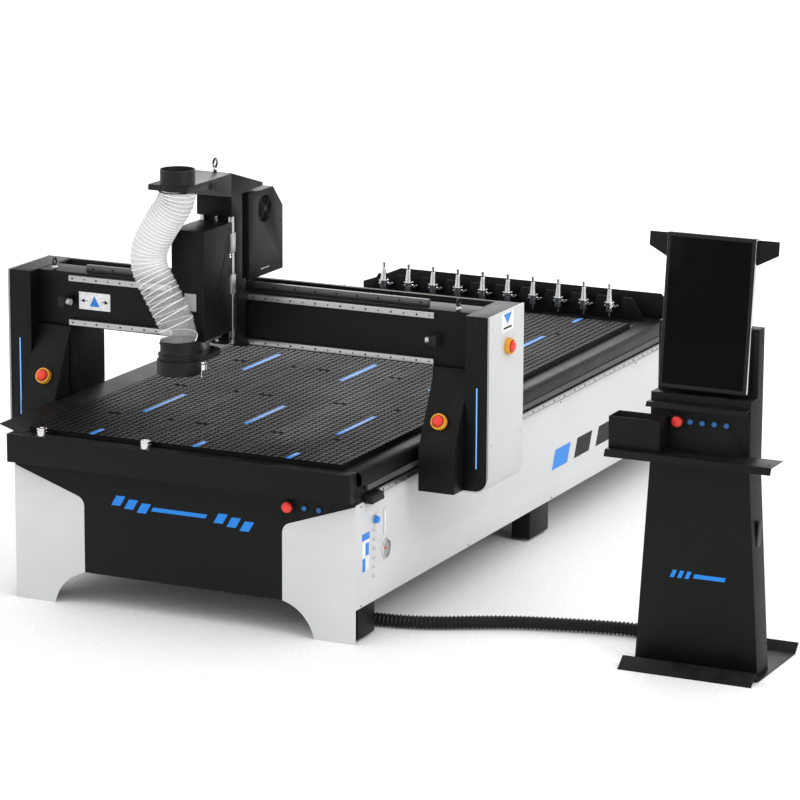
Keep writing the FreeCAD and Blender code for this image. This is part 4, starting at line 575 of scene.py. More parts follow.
def tube(name, stations, sides=24, closed=True):
    """A round skin over stations of centre, direction and radius."""
    mesh = bpy.data.meshes.new(name)
    verts, faces = [], []
    across = Vector((0.31, -0.87, 0.2))
    for centre, direction, radius in stations:
        across = (across - direction * across.dot(direction)).normalized()
        other = direction.cross(across)
        for index in range(sides):
            turn = 2 * math.pi * index / sides
            verts.append(centre + (across * math.cos(turn) + other * math.sin(turn)) * radius)
    for ring in range(len(stations) - 1):
        for index in range(sides):
            follow = (index + 1) % sides
            first, last = ring * sides, (ring + 1) * sides
            faces.append((first + index, first + follow, last + follow, last + index))
    if closed:
        faces.append(tuple(range(sides))[::-1])
        faces.append(tuple(range(len(verts) - sides, len(verts))))
    mesh.from_pydata(verts, [], faces)
    piece = bpy.data.objects.new(name, mesh)
    bpy.context.scene.collection.objects.link(piece)
    return soften(piece, 0, angle=50)


# The conduit's route, the same points as in the CAD source, in millimetres from the datum.
CONDUIT_ROUTE = [
    (650, 292, 30), (740, 292, 30), (905, 315, 30), (1045, 372, 30), (1152, 434, 30), (1255, 489, 30),
    (1362, 534, 30), (1470, 566, 30), (1580, 596, 30), (1690, 623, 30), (1790, 643, 30), (1868, 643, 30),
]


class ROUTER_OT_conduit(bpy.types.Operator):
    """Adds the corrugated cable conduit between the bed and the console"""

    bl_idname = "router.conduit"
    bl_label = "Conduit"

    def execute(self, context):
        pitch = context.scene.router_sizes.rib_pitch
        radius = 29 * MM
        line = smooth_line([at(*point) for point in CONDUIT_ROUTE])
        length = spaced(line, 400)[2]
        ribs = int(length / pitch)
        places, directions, length = spaced(line, ribs * 6)
        profile = (0.0, 0.0, 3.4 * MM, 4.6 * MM, 4.6 * MM, 3.4 * MM)
        stations = []
        for index, (place, direction) in enumerate(zip(places, directions)):
            stations.append((place, direction, radius - profile[index % 6]))
        piece = tube("conduit_corrugated", stations)
        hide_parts("conduit")
        finish_piece(piece, "conduit_corrugated", "black_plastic", "base")
        glands = []
        for point, sense in ((CONDUIT_ROUTE[0], LEFT), (CONDUIT_ROUTE[-1], RIGHT)):
            collar = stack([(30, -8), (30, 0), (36, 2), (36, 20), (33, 22), (33, 34)], 32)
            glands.append(moved(collar, turned_to(sense, at(*point))))
        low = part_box("conduit_glands")[0].z
        for gland in glands:
            for vertex in gland.data.vertices:
                vertex.co.z = max(vertex.co.z, low + 0.5 * MM)
        finish_piece(joined(glands), "gland_nuts", "cast_black", "base")
        dressed("conduit_glands", "black_coat")
        return {"FINISHED"}


class ROUTER_OT_hose(bpy.types.Operator):
    """Adds the clear dust hose and its wire helix"""

    bl_idname = "router.hose"
    bl_label = "Dust hose"

    def execute(self, context):
        low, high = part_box("dust_hose")
        centre_x = middle("spindle_motor").x
        centre_y = middle("dust_hose").y
        bow = 0.165
        top, bottom = Vector((centre_x, centre_y, high.z)), Vector((centre_x, centre_y, low.z))
        kink = at(0, 0, 1525).z
        route = [top, top + DOWN * 0.05, Vector((centre_x - 0.085, centre_y, (top.z + kink) / 2)),
                 Vector((centre_x - bow, centre_y, kink)), Vector((centre_x - 0.07, centre_y, kink - 0.16)),
                 bottom + UP * 0.05, bottom]
        line = smooth_line(route)
        places, directions, length = spaced(line, 120)
        radius = 76.8 * MM
        turns = context.scene.router_sizes.hose_turns

        def wound(share):
            """Share of the turns used up by this share of the length: close above, open below."""
            return 1 - (1 - share) ** 1.55

        stations = []
        for index, (place, direction) in enumerate(zip(places, directions)):
            wave = math.cos(wound(index / 120) * turns * 2 * math.pi)
            stations.append((place, direction, radius + 1.1 * MM * wave))
        film = tube("hose_film", stations, 40, closed=False)
        apply_modifier(film, "SOLIDIFY", thickness=0.8 * MM, offset=-1)
        finish_piece(film, "hose_film", "hose_film", None)
        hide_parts("dust_hose")
        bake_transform(film)

        wire_line = []
        samples = turns * 26
        fine, aims, length = spaced(line, samples)
        across = Vector((1, 0, 0))
        for index in range(samples + 1):
            direction = aims[index]
            across = (across - direction * across.dot(direction)).normalized()
            other = direction.cross(across)
            turn = wound(index / samples) * turns * 2 * math.pi
            arm = across * math.cos(turn) + other * math.sin(turn)
            wire_line.append(fine[index] + arm * (radius + 1.2 * MM))
        ends = list(zip(wire_line, wire_line[1:] + wire_line[-1:]))
        helix = []
        for index, (place, after) in enumerate(ends):
            aim = (after - place) if index < samples else (place - wire_line[-2])
            helix.append((place, aim.normalized(), 1.9 * MM))
        wire = tube("hose_wire", helix, 6)
        finish_piece(wire, "hose_wire", "hose_wire", None)
        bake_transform(wire)
        return {"FINISHED"}


# ---------------------------------------------------------------- bed
class ROUTER_OT_bed(bpy.types.Operator):
    """Finishes the bed's frame, panels, apron and ledges"""

    bl_idname = "router.bed"
    bl_label = "Bed"

    def execute(self, context):
        dressed("bed_frame", "black_coat", 2.5 * MM)
        dressed("leg_panels", "white_coat", 0.9 * MM)
        dressed("body_panels", "white_coat", 0.9 * MM)
        dressed("centre_front_panel", "black_coat", 0.8 * MM)
        dressed("apron", "black_coat", 1.2 * MM)
        dressed("side_ledges", "black_coat", 0.8 * MM)
        dressed("scrap_tray", "black_coat", 0.6 * MM)
        dressed("rear_fence", "black_coat", 1.0 * MM)
        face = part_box("apron")[0].y
        heads = [Vector((at(x, 0, 0).x, face, at(0, 0, 722).z)) for x in (-744, -354, 354, 744)]
        screws("apron_screws", heads, FRONT, "base", 6, "shadow")
        heads = [at(820, y, z) for y, z in ((50, 585), (50, 157))]
        heads += [at(820, 208 + 920 * step, 158) for step in range(1, 5)]
        heads += [at(820, 300 + 920 * step, 592) for step in range(1, 4)]
        screws("side_screws_right", heads, RIGHT, "base", 4)
        heads = [Vector((2 * DATUM.x - place.x, place.y, place.z)) for place in heads]
        screws("side_screws_left", heads, LEFT, "base", 4)
        heads = [at(x, 3900, z) for x in (-780, -390, 0, 390, 780) for z in (180, 640)]
        screws("rear_screws", heads, BACK, "base", 4)
        for side in (-1, 1):
            for step in range(3):
                lead = 150 + 62 * step
                corners = [at(side * (lead + dx), 3, 470 + side * (dz - 10 * step))
                           for dx, dz in ((0, -22), (44, -22), (70, 22), (26, 22))]
                plate(corners, FRONT, "blue_line", "base", f"front_stripe_{side}_{step}")
        bar = [at(x, 3, z) for x, z in ((-150, 462), (112, 462), (122, 480), (-140, 480))]
        plate(bar, FRONT, "blue_line", "base", "front_bar")
        for step in range(3):
            low = 2050 + 260 * step
            corners = [at(820, low + dy, 330 + dz) for dy, dz in ((0, -45), (180, -45), (220, 45), (40, 45))]
            plate(corners, RIGHT, "black_coat" if step else "blue_line", "base", f"side_stripe_{step}")
        return {"FINISHED"}


class ROUTER_OT_panel_fittings(bpy.types.Operator):
    """Adds the gauge, the sight frame with its white strip of painted highlight, grease nipples and selector knob
    """

    bl_idname = "router.panel_fittings"
    bl_label = "Panel fittings"

    def execute(self, context):
        nipples = []
        for step in range(6):
            body = stack([(8, 0), (8, 3), (5.2, 4), (5.2, 8), (3.4, 9), (4.2, 11), (4.2, 13), (2, 15)], 18)
            nipples.append(moved(body, turned_to(RIGHT, at(820, 166, 263 + 39.4 * step))))
        finish_piece(joined(nipples), "grease_nipples", "bright_steel", "base")
        rim = stack([(39, -18), (44, 0), (44, 3.4), (42, 5), (38, 5), (37, 2.2), (36.5, -4), (1, -4)], 48)
        finish_piece(moved(rim, turned_to(RIGHT, at(820, 294, 348))), "gauge_rim", "bright_steel", "base")
        dial = stack([(36, -3.9), (36, -3.2), (1, -3.2)], 48)
        finish_piece(moved(dial, turned_to(RIGHT, at(820, 294, 348))), "gauge_dial", "pale_trim", "base")
        ticks = []
        for step in range(11):
            turn = math.radians(225 - 27 * step)
            inner, outer = 27 * MM, 33 * MM
            centre = at(817.3, 294, 348)
            arm = Vector((0, math.cos(turn), math.sin(turn)))
            side = RIGHT.cross(arm) * 0.9 * MM
            corners = [centre + arm * inner - side, centre + arm * outer - side,
                       centre + arm * outer + side, centre + arm * inner + side]
            ticks.append(plate(corners, RIGHT, "shadow", "base", f"gauge_tick_{step}", 0.4 * MM))
        joined(ticks).name = "gauge_ticks"
        corners = [at(817.9, 294 + dy, 348 + dz) for dy, dz in ((3, -5), (-20, 20), (-22, 18), (-4, -4))]
        plate(corners, RIGHT, "red_plastic", "base", "gauge_needle", 0.5 * MM)
        finish_piece(moved(stack([(5, -3.2), (5, 0), (3.5, 1.2)], 20), turned_to(RIGHT, at(820, 294, 348))),
                     "gauge_hub", "red_plastic", "base")
        frame_box = block(at(820, 262, 416), at(824, 286, 529), 1.5 * MM)
        finish_piece(frame_box, "sight_frame", "white_coat", "base")
        # Painted highlight: the white strip inside the sight frame stands for a glint on the fitting, coloured
        # white.
        glass = block(at(822, 268, 424), at(825, 280, 521), 1.5 * MM)
        finish_piece(glass, "sight_painted_highlight", "label_white", "base")
        label = block(at(820, 62, 296), at(821.2, 124, 432), 0.4 * MM)
        finish_piece(label, "grease_plate", "label_white", "base")
        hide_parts("panel_fittings")
        marks = (60, 130, 432, 462), (90, 122, 364, 418), (62, 90, 298, 356)
        for number, (y0, y1, z0, z1) in enumerate(marks):
            mark = block(at(820.6, y0, z0), at(821.8, y1, z1), 0.4 * MM)
            finish_piece(mark, f"grease_plate_mark_{number}", "blue_line", "base")
        knob = stack([(6, -3.4), (6, 0.5), (17, 0.6), (17, 7), (15.5, 8.5), (14, 21), (12, 22.4),
                      (1, 22.4)], 32)
        bar = block((-4.5 * MM, -16 * MM, 8 * MM), (4.5 * MM, 16 * MM, 22 * MM), 2 * MM)
        grip = moved(joined([knob, bar]), turned_to(RIGHT, at(820, 175, 503)))
        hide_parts("selector_knob")
        finish_piece(grip, "selector_grip", "blue_line", "selector_knob")
        skirt = stack([(19, 0.1), (19, 5), (17.6, 6)], 32)
        finish_piece(moved(skirt, turned_to(RIGHT, at(820, 175, 503))), "selector_skirt", "machined", "base")
        return {"FINISHED"}


class ROUTER_OT_table(bpy.types.Operator):
    """Adds the vacuum table's grid board, pockets and strips"""

    bl_idname = "router.table"
    bl_label = "Vacuum table"

    def execute(self, context):
        sizes = context.scene.router_sizes
        low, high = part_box("vacuum_table")
        top = high.z - 0.7 * MM
        deselect()
        bpy.ops.mesh.primitive_grid_add(x_subdivisions=sizes.cells_across, y_subdivisions=sizes.cells_along,
                                        size=1, location=((low.x + high.x) / 2, (low.y + high.y) / 2, top))
        board = context.active_object
        board.scale = (high.x - low.x, high.y - low.y, 1)
        bpy.ops.object.transform_apply(location=True, rotation=True, scale=True)
        pockets = [at(x, y, 765) for x in (-555, -271, -115, 245, 533) for y in (387, 1005, 1575, 2145, 2763)]
        reach = 18 * MM
        bpy.ops.object.mode_set(mode="EDIT")
        bpy.ops.mesh.select_mode(type="FACE")
        bpy.ops.mesh.select_all(action="SELECT")
        bpy.ops.mesh.inset(thickness=sizes.groove, depth=0, use_individual=True, use_boundary=True)
        bpy.ops.mesh.select_all(action="INVERT")
        bpy.ops.mesh.extrude_region_move(TRANSFORM_OT_translate={"value": (0, 0, -3.5 * MM)})
        bpy.ops.mesh.select_all(action="DESELECT")
        bpy.ops.object.mode_set(mode="OBJECT")
        for face in board.data.polygons:
            near = any(abs(face.center.x - place.x) < reach * 1.6 and abs(face.center.y - place.y) < reach
                       for place in pockets)
            face.select = near and face.normal.z > 0.5 and face.center.z > top - 1 * MM
        bpy.ops.object.mode_set(mode="EDIT")
        bpy.ops.mesh.inset(thickness=2 * MM, use_individual=True)
        bpy.ops.mesh.extrude_faces_move(TRANSFORM_OT_shrink_fatten={"value": -12 * MM})
        bpy.ops.object.mode_set(mode="OBJECT")
        rim = block((low.x, low.y, low.z), (high.x, high.y, top - 3.6 * MM), 1.5 * MM)
        whole = joined([board, rim])
        activate(whole)
        finish_piece(whole, "vacuum_board", "table_board", "base")
        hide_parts("vacuum_table")
        dressed("table_inlays", "blue_strip", 1.5 * MM)
        seams = []
        for x in (-500, -250, 0, 250, 500):
            corners = [at(x - 2.5, 15, 764.0), at(x + 2.5, 15, 764.0), at(x + 2.5, 3150, 764.0),
                       at(x - 2.5, 3150, 764.0)]
            seams.append(plate(corners, UP, "shadow", "base", f"board_seam_{x}", 0.6 * MM))
        joined(seams).name = "board_seams"
        return {"FINISHED"}


# ---------------------------------------------------------------- rails
def rail_holes(name, start, along, count, direction, body, big=5.6, small=3.4):
    """Dark bolt recesses along a rail, large and small by turns."""
    ring = stack([(big, -0.6), (big, 0.35), (big * 0.75, 0.4), (big * 0.6, 0.1), (1, 0.1)], 14)
    large = copies(ring, [turned_to(direction, start + along * (2 * step))
                          for step in range((count + 1) // 2)])
    dot = stack([(small, -0.6), (small, 0.3), (1, 0.3)], 12)
    little = copies(dot, [turned_to(direction, start + along * (2 * step + 1)) for step in range(count // 2)])
    return finish_piece(joined([large, little]), name, "shadow", body)


def rack_teeth(name, start, along, count, outward, wide, body, deep=3.6):
    """A row of straight teeth whose tips end at the rack's pitch line."""
    pitch = bpy.context.scene.router_sizes.tooth_pitch
    height = UP * wide if abs(outward.z) < 0.5 else RIGHT * wide
    mesh = bpy.data.meshes.new(name)
    foot, tip = 0.46 * pitch, 0.22 * pitch
    back = -outward * deep * MM
    verts = []
    for level in (Vector(), height):
        verts += [back - along * foot + level, -along * tip + level, along * tip + level,
                  back + along * foot + level]
    faces = [(0, 1, 2, 3), (7, 6, 5, 4), (0, 4, 5, 1), (1, 5, 6, 2), (2, 6, 7, 3)]
    mesh.from_pydata(verts, [], faces)
    tooth = bpy.data.objects.new(name, mesh)
    bpy.context.scene.collection.objects.link(tooth)
    apply_modifier(tooth, "ARRAY", count=count, use_relative_offset=False, use_constant_offset=True,
                   constant_offset_displace=along * pitch)
    activate(tooth)
    bpy.ops.object.mode_set(mode="EDIT")
    bpy.ops.mesh.select_all(action="SELECT")
    bpy.ops.mesh.normals_make_consistent(inside=False)
    bpy.ops.object.mode_set(mode="OBJECT")
    return finish_piece(moved(tooth, Matrix.Translation(start)), name, "rack_steel", body)


class ROUTER_OT_long_rails(bpy.types.Operator):
    """Adds the long rails, their racks and their end stops"""

    bl_idname = "router.long_rails"
    bl_label = "Long rails"

    def execute(self, context):
        sizes = context.scene.router_sizes
        for side in (-1, 1):
            word = "right" if side > 0 else "left"
            outward = RIGHT * side
            rail = block(at(side * 820, 184, 613), at(side * 843, 3845, 640), 2.0 * MM)
            finish_piece(rail, f"long_rail_{word}", "rail_steel", "base")
            groove = []
            for height in (617.5, 635.5):
                groove.append(block(at(side * 842.2, 185, height - 1.2), at(side * 843.3, 3844, height + 1.2),
                                    0.3 * MM, 1))
            finish_piece(joined(groove), f"long_rail_grooves_{word}", "rack_steel", "base")
            start = at(side * 843, 214, 626.5)
            rail_holes(f"long_rail_holes_{word}", start, BACK * sizes.hole_pitch, 61, outward, "base")
            rack = block(at(side * 820, 80, 652), at(side * 838.4, 3845, 677), 1.0 * MM)
            finish_piece(rack, f"long_rack_{word}", "rack_steel", "base")
            rack_teeth(f"long_rack_teeth_{word}", at(side * 842, 86, 652.5), BACK, 375, outward, 24 * MM,
                       "base")
            for y in (71, 3845):
                reach = 112 if y < 100 else 43
                stop = block(at(side * 820, y + 2, 594), at(side * 862, y + reach, 630), 3 * MM)
                finish_piece(stop, f"end_stop_{word}_{y}", "cast_black", "base")
                pad_y = y + 113 if y < 100 else y
                sense = BACK if y < 100 else FRONT
                pad = stack([(12, -6), (12, -1), (10, 0), (1, 0)], 20)
                moved(pad, turned_to(sense, at(side * 852, pad_y - (1 if y < 100 else 0), 604)))
                finish_piece(pad, f"end_pad_{word}_{y}", "cast_black", "base")
        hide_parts("y_rails")
        return {"FINISHED"}


class ROUTER_OT_cross_rails(bpy.types.Operator):
    """Adds the cross rails, their rack and the bump stops"""

    bl_idname = "router.cross_rails"
    bl_label = "Cross rails"

    def execute(self, context):
        sizes = context.scene.router_sizes
        for word, low in (("upper", 1284), ("lower", 1086)):
            rail = block(at(-890, 598, low), at(890, 620, low + 25), 2.0 * MM)
            finish_piece(rail, f"cross_rail_{word}", "cross_steel", "gantry")
            if word == "upper":
                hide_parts("x_rails")
            rail_holes(f"cross_rail_holes_{word}", at(-870, 598, low + 12.5), RIGHT * sizes.hole_pitch, 30,
                       FRONT, "gantry", 4.6, 3.6)
        rack = block(at(-835, 660, 1320), at(835, 681.4, 1350), 1.0 * MM)
        finish_piece(rack, "cross_rack", "rack_steel", "gantry")
        rack_teeth("cross_rack_teeth", at(-828, 685, 1322), RIGHT, 166, BACK, 27 * MM, "gantry")
        rack_bolts = [at(-800 + 100 * step, 660, 1336) for step in range(17)]
        screws("cross_rack_bolts", rack_bolts, FRONT, "gantry", 5)
        for side in (-1, 1):
            word = "right" if side > 0 else "left"
            mount = block(at(side * 885, 555, 1172), at(side * 921, 620, 1218), 3 * MM)
            finish_piece(mount, f"bump_block_{word}", "cast_black", "gantry")
            if side > 0:
                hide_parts("bump_stops")
            tip = stack([(16, 0), (16, 8), (14.5, 10), (14.5, 14), (16, 16), (16, 18), (14, 20), (1, 20)], 28)
            moved(tip, turned_to(LEFT * side, at(side * 885, 577, 1195)))
            finish_piece(tip, f"bump_tip_{word}", "machined", "gantry")
        dressed("y_bearing_blocks", "machined", 1.5 * MM)
        dressed("y_gearmotors", "cast_black", 2.0 * MM)
        return {"FINISHED"}


class ROUTER_OT_pinions(bpy.types.Operator):
    """Adds the toothed pinions, the ball screw and the cooling fan"""

    bl_idname = "router.pinions"
    bl_label = "Pinions, screw and fan"

    def execute(self, context):
        for node in ("y_pinion_left", "y_pinion_right", "x_pinion"):
            low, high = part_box(node)
            centre = middle(node)
            wide = (24 if node.startswith("y") else 24) * MM
            gear = self.gear(18 * MM, wide)
            shaft = stack([(6, 0), (6, (high.z - low.z) / MM - 0.5), (1, (high.z - low.z) / MM - 0.5)], 20)
            whole = moved(joined([gear, shaft]), Matrix.Translation((centre.x, centre.y, low.z)))
            finish_piece(whole, f"{node}_toothed", "rack_steel", node)
            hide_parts(node)
        low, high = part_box("z_screw")
        centre = middle("z_screw")
        core = stack([(6.6, 0), (6.6, (high.z - low.z) / MM), (1, (high.z - low.z) / MM)], 24)
        moved(core, Matrix.Translation((centre.x, centre.y, low.z)))
        turns = int((high.z - low.z) / (10 * MM))
        helix = []
        for index in range(turns * 16):
            turn = index * math.pi / 8
            rise = (high.z - low.z - 10 * MM) * index / (turns * 16)
            place = Vector((centre.x, centre.y, low.z + 5 * MM + rise))
            arm = Vector((math.cos(turn), math.sin(turn), 0))
            helix.append((place + arm * 6.2 * MM, Vector((-arm.y, arm.x, 0.25)).normalized(), 1.7 * MM))
        thread = tube("screw_thread", helix, 6)
        whole = joined([core, thread])
        finish_piece(whole, "z_screw_threaded", "upright_steel", "z_screw")
        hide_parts("z_screw")
        dressed("box_fan", "black_plastic", 0.8 * MM)
        return {"FINISHED"}

    def gear(self, radius, wide, teeth=16):
        """A straight-toothed wheel: a disc whose every other side is pulled in."""
        deselect()
        bpy.ops.mesh.primitive_circle_add(vertices=teeth * 4, radius=radius, fill_type="NGON")
        wheel = bpy.context.active_object
        for index, vertex in enumerate(wheel.data.vertices):
            if index % 4 in (2, 3):
                vertex.co *= 0.84
        bpy.ops.object.mode_set(mode="EDIT")
        bpy.ops.mesh.select_all(action="SELECT")
        bpy.ops.mesh.extrude_region_move(TRANSFORM_OT_translate={"value": (0, 0, wide)})
        bpy.ops.mesh.select_all(action="SELECT")
        bpy.ops.mesh.normals_make_consistent(inside=False)
        bpy.ops.object.mode_set(mode="OBJECT")
        return wheel


# ---------------------------------------------------------------- tool rack
class ROUTER_OT_tools(bpy.types.Operator):
    """Adds the tool rack and the tool holders in its forks"""

    bl_idname = "router.tools"
    bl_label = "Tool rack"

    def execute(self, context):
        dressed("tool_rack", "black_coat", 0.9 * MM)
        cone = stack([(17, 17), (9.5, 76), (6, 78), (6, 94), (8, 96), (8, 104), (5, 108), (1, 108)], 32)
        flange = stack([(17, -14), (17, -6), (24, -6), (25, -5), (25, 2), (20, 5), (20, 9), (25, 12),
                        (25, 16),
                        (24, 17), (17, 17)], 32)
        nut = stack([(15, -34), (19, -30), (19, -16), (17, -14)], 16)
        bit = stack([(2.4, -61), (4, -58), (4, -36), (14, -35), (15, -34)], 18)
        spaced_out = [at(-637 + 136 * step, 3280, 814) for step in range(10)]
        places = [Matrix.Translation(place) for place in spaced_out]
        piece = copies(joined([cone, flange]), places)
        finish_piece(piece, "tool_cones", "bright_steel", "base")
        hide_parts("tool_holders")
        finish_piece(copies(nut, places), "tool_nuts", "rack_steel", "base")
        finish_piece(copies(bit, places), "tool_bits", "upright_steel", "base")
        heads = [place + Vector((side * 26 * MM, 40 * MM, -6 * MM))
                 for place in spaced_out for side in (-1, 1)]
        screws("fork_screws", heads, UP, "base", 3.6, "machined")
        return {"FINISHED"}


# ---------------------------------------------------------------- gantry
def eyebolt(name, place, axis, body, ring=15):
    """A lifting eye: a collar and a ring that stands on it."""
    collar = stack([(7, -2), (7, 6), (13, 8), (13, 12), (8, 15), (6, 22)], 24)
    deselect()
    bpy.ops.mesh.primitive_torus_add(major_radius=ring * MM, minor_radius=4.5 * MM, major_segments=36,
                                     minor_segments=14, location=(0, 0, (21 + ring) * MM))
    bpy.ops.object.transform_apply(location=True, rotation=True, scale=True)
    loop = soften(bpy.context.active_object, 0)
    centre = Matrix.Translation((0, 0, (21 + ring) * MM))
    stand = centre @ UP.rotation_difference(axis).to_matrix().to_4x4() @ centre.inverted()
    moved(loop, stand)
    piece = moved(joined([collar, loop]), Matrix.Translation(place))
    return finish_piece(piece, name, "bright_steel", body)


def axis_label(name, centre, across, rise, outward, body, wide, tall, marks):
    """A white plate with flat marks on it, each a finish and its corners as shares of the plate."""
    def corners(points):
        return [centre + across * (x * wide) + rise * (z * tall) for x, z in points]

    lift = 1.0 * MM
    whole = [(-0.5, -0.5), (0.5, -0.5), (0.5, 0.5), (-0.5, 0.5)]
    plate(corners(whole), outward, "label_white", body, name, lift)
    face = outward * lift
    for number, (finish, points) in enumerate(marks):
        raised = [place + face for place in corners(points)]
        plate(raised, outward, finish, body, f"{name}_mark_{number}", (0.3 + 0.1 * number) * MM)


TRAVEL_MARKS = [
    ("blue_line", [(-0.16, -0.30), (0.16, -0.30), (0.0, 0.30)]),
    ("shadow", [(-0.32, -0.02), (-0.22, -0.02), (-0.22, 0.02), (-0.32, 0.02)]),
    ("shadow", [(0.22, -0.02), (0.32, -0.02), (0.32, 0.02), (0.22, 0.02)]),
    ("shadow", [(-0.44, 0.0), (-0.32, -0.12), (-0.32, 0.12)]),
    ("shadow", [(0.44, 0.0), (0.32, 0.12), (0.32, -0.12)]),
]
WARNING_MARKS = [
    ("blue_line", [(-0.34, 0.42), (0.0, -0.14), (0.34, 0.42)]),
    ("shadow", [(-0.34, -0.36), (0.34, -0.36), (0.34, -0.26), (-0.34, -0.26)]),
]


class ROUTER_OT_gantry(bpy.types.Operator):
    """Finishes the gantry: beam, columns, end covers and lights"""

    bl_idname = "router.gantry"
    bl_label = "Gantry"

    def execute(self, context):
        dressed("gantry_beam", "black_coat", 2.0 * MM)
        dressed("gantry_columns", "black_coat", 2.0 * MM)
        dressed("side_covers", "white_coat", 2.0 * MM)
        dressed("front_covers", "black_coat", 1.4 * MM)
        for side in (-1, 1):
            word = "right" if side > 0 else "left"
            outward = RIGHT * side
            line = block(at(side * 1112, 549.4, 667), at(side * 1117, 552.6, 1016), 0.8 * MM)
            finish_piece(line, f"light_line_{word}", "lamp_blue", "gantry")
            trim = block(at(side * 1163, 548.9, 624), at(side * 1171, 550.6, 1323), 0.6 * MM)
            finish_piece(trim, f"cover_trim_{word}", "pale_trim", "gantry")
            heads = [at(side * 1171.5, y, z) for y, z in ((580, 1269), (884, 1272), (576, 769), (880, 770))]
            screws(f"cover_screws_{word}", heads, outward, "gantry", 4.5, "machined")
            heads = [at(side * 1110, 552, z) for z in (600, 1280)]
            screws(f"front_box_screws_{word}", heads, FRONT, "gantry", 4)
            eyebolt(f"beam_eyebolt_{word}", at(side * 985, 642, 1320), RIGHT, "gantry", 15)
        axis_label("x_axis_label", at(-770, 620, 1198), RIGHT, UP, FRONT, "gantry", 158 * MM, 78 * MM,
                   TRAVEL_MARKS)
        for word, side in (("right", 1), ("left", -1)):
            axis_label(f"y_axis_label_{word}", at(side * 1171.5, 733, 1276), BACK * side, UP, RIGHT * side,
                       "gantry", 122 * MM, 84 * MM, WARNING_MARKS)
        slots = block(at(-1030, 776, 1201), at(1030, 800, 1216), 2 * MM)
        finish_piece(slots, "cable_tray_rail", "machined", "gantry")
        links = []
        for step in range(58):
            x = -1015 + 34 * step
            links.append(block(at(x, 808, 1202), at(x + 30, 872, 1246), 3 * MM, 1))
        finish_piece(joined(links), "cable_chain", "black_plastic", "gantry")
        return {"FINISHED"}


# ---------------------------------------------------------------- head
class ROUTER_OT_head(bpy.types.Operator):
    """Finishes the carriage, column, roof, electrical box and duct bracket"""

    bl_idname = "router.head"
    bl_label = "Head"

    def execute(self, context):
        dressed("carriage_plate", "black_coat", 1.8 * MM)
        dressed("z_column", "black_coat", 2.0 * MM)
        dressed("head_roof", "black_coat", 1.4 * MM)
        dressed("electrical_box", "black_coat", 1.4 * MM)
        dressed("hose_spigot", "black_plastic", 1.2 * MM)
        dressed("z_rails", "upright_steel", 1.5 * MM)
        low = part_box("z_rails")[0]
        for side in (-1, 1):
            start = Vector((middle("z_rails").x + side * 70 * MM, low.y, low.z + 25 * MM))
            rail_holes(f"z_rail_holes_{side}", start, UP * 50 * MM, 11, FRONT, "x_carriage", 4.2, 3.2)
        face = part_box("electrical_box")[1].x
        hub = Vector((face, middle("box_fan").y, middle("box_fan").z))
        rings = []
        for radius in (14, 25, 36, 47, 58):
            deselect()
            bpy.ops.mesh.primitive_torus_add(major_radius=radius * MM, minor_radius=1.5 * MM,
                                             major_segments=48,
                                             minor_segments=8)
            rings.append(soften(context.active_object, 0))
        for turn in (45, 135, 225, 315):
            spoke = block((10 * MM, -1.6 * MM, -1.4 * MM), (60 * MM, 1.6 * MM, 1.4 * MM), 0.5 * MM, 1)
            rings.append(moved(spoke, Matrix.Rotation(math.radians(turn), 4, "Z")))
        rings.append(stack([(13, -1.5), (13, 1.2), (11, 2), (1, 2)], 28))
        guard = moved(joined(rings), turned_to(RIGHT, hub))
        finish_piece(guard, "fan_guard", "cast_black", "x_carriage")
        heads = [Vector((face, at(0, y, 0).y, z * MM))
                 for y, z in ((630, 1700), (630, 1560), (630, 1400), (905, 1400),
                                                                    (905, 1580))]
        screws("box_screws", heads, RIGHT, "x_carriage", 4)
        slots = []
        for step in range(7):
            y = 720 + 11 * step
            place = at(0, y, 1395)
            slots.append(block(Vector((face - 0.5 * MM, place.y, place.z)),
                               Vector((face + 0.7 * MM, place.y + 6 * MM, place.z + 5 * MM)), 0.3 * MM, 1))
        finish_piece(joined(slots), "box_plate_marks", "label_white", "x_carriage")
        ring_place = Vector((middle("z_screw").x, at(0, 462, 0).y, at(0, 0, 1856).z))
        eyebolt("head_eyebolt", ring_place, RIGHT, "x_carriage", 17)
        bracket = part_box("hose_spigot")[1]
        eye = stack([(15.5, 0), (15.5, 0.9), (13.2, 1.1), (13, -2)], 28)
        moved(eye, turned_to(RIGHT, Vector((bracket.x, at(0, 265, 0).y, 1833 * MM))))
        finish_piece(eye, "bracket_eye_rim", "shadow", "x_carriage")
        # Painted shade: a dark disc in the shadow finish stands for the round hole in the motor block.
        socket = stack([(14, -2), (14, 2), (12, 4), (1, 4)], 24)
        moved(socket, turned_to(FRONT, at(-30, 450, 1712)))
        finish_piece(socket, "motor_block_hole_shade", "shadow", "x_carriage")
        knob = stack([(4, 74), (4, 22), (9, 21.5), (17, 16), (21, 9), (22.5, 0), (21, -9), (17, -16),
                      (9, -21),
                      (1, -22.5)], 28)
        moved(knob, Matrix.Translation(Vector((bracket.x - 184 * MM, at(0, 190, 0).y, 1764 * MM))))
        finish_piece(knob, "clamp_knob", "black_plastic", "x_carriage")
        for number, (height, ring, wide) in enumerate(((1830, 80.4, 2.2), (1919, 73.2, 1.4))):
            centre = Vector((middle("z_screw").x, at(0, 130, 0).y, height * MM))
            deselect()
            bpy.ops.mesh.primitive_torus_add(major_radius=ring * MM, minor_radius=wide * MM,
                                             major_segments=64,
                                             minor_segments=10, location=centre)
            bpy.ops.object.transform_apply(location=True, rotation=True, scale=True)
            band = soften(context.active_object, 0)
            finish_piece(band, f"spigot_band_{number}", "cast_black", "x_carriage")
        return {"FINISHED"}


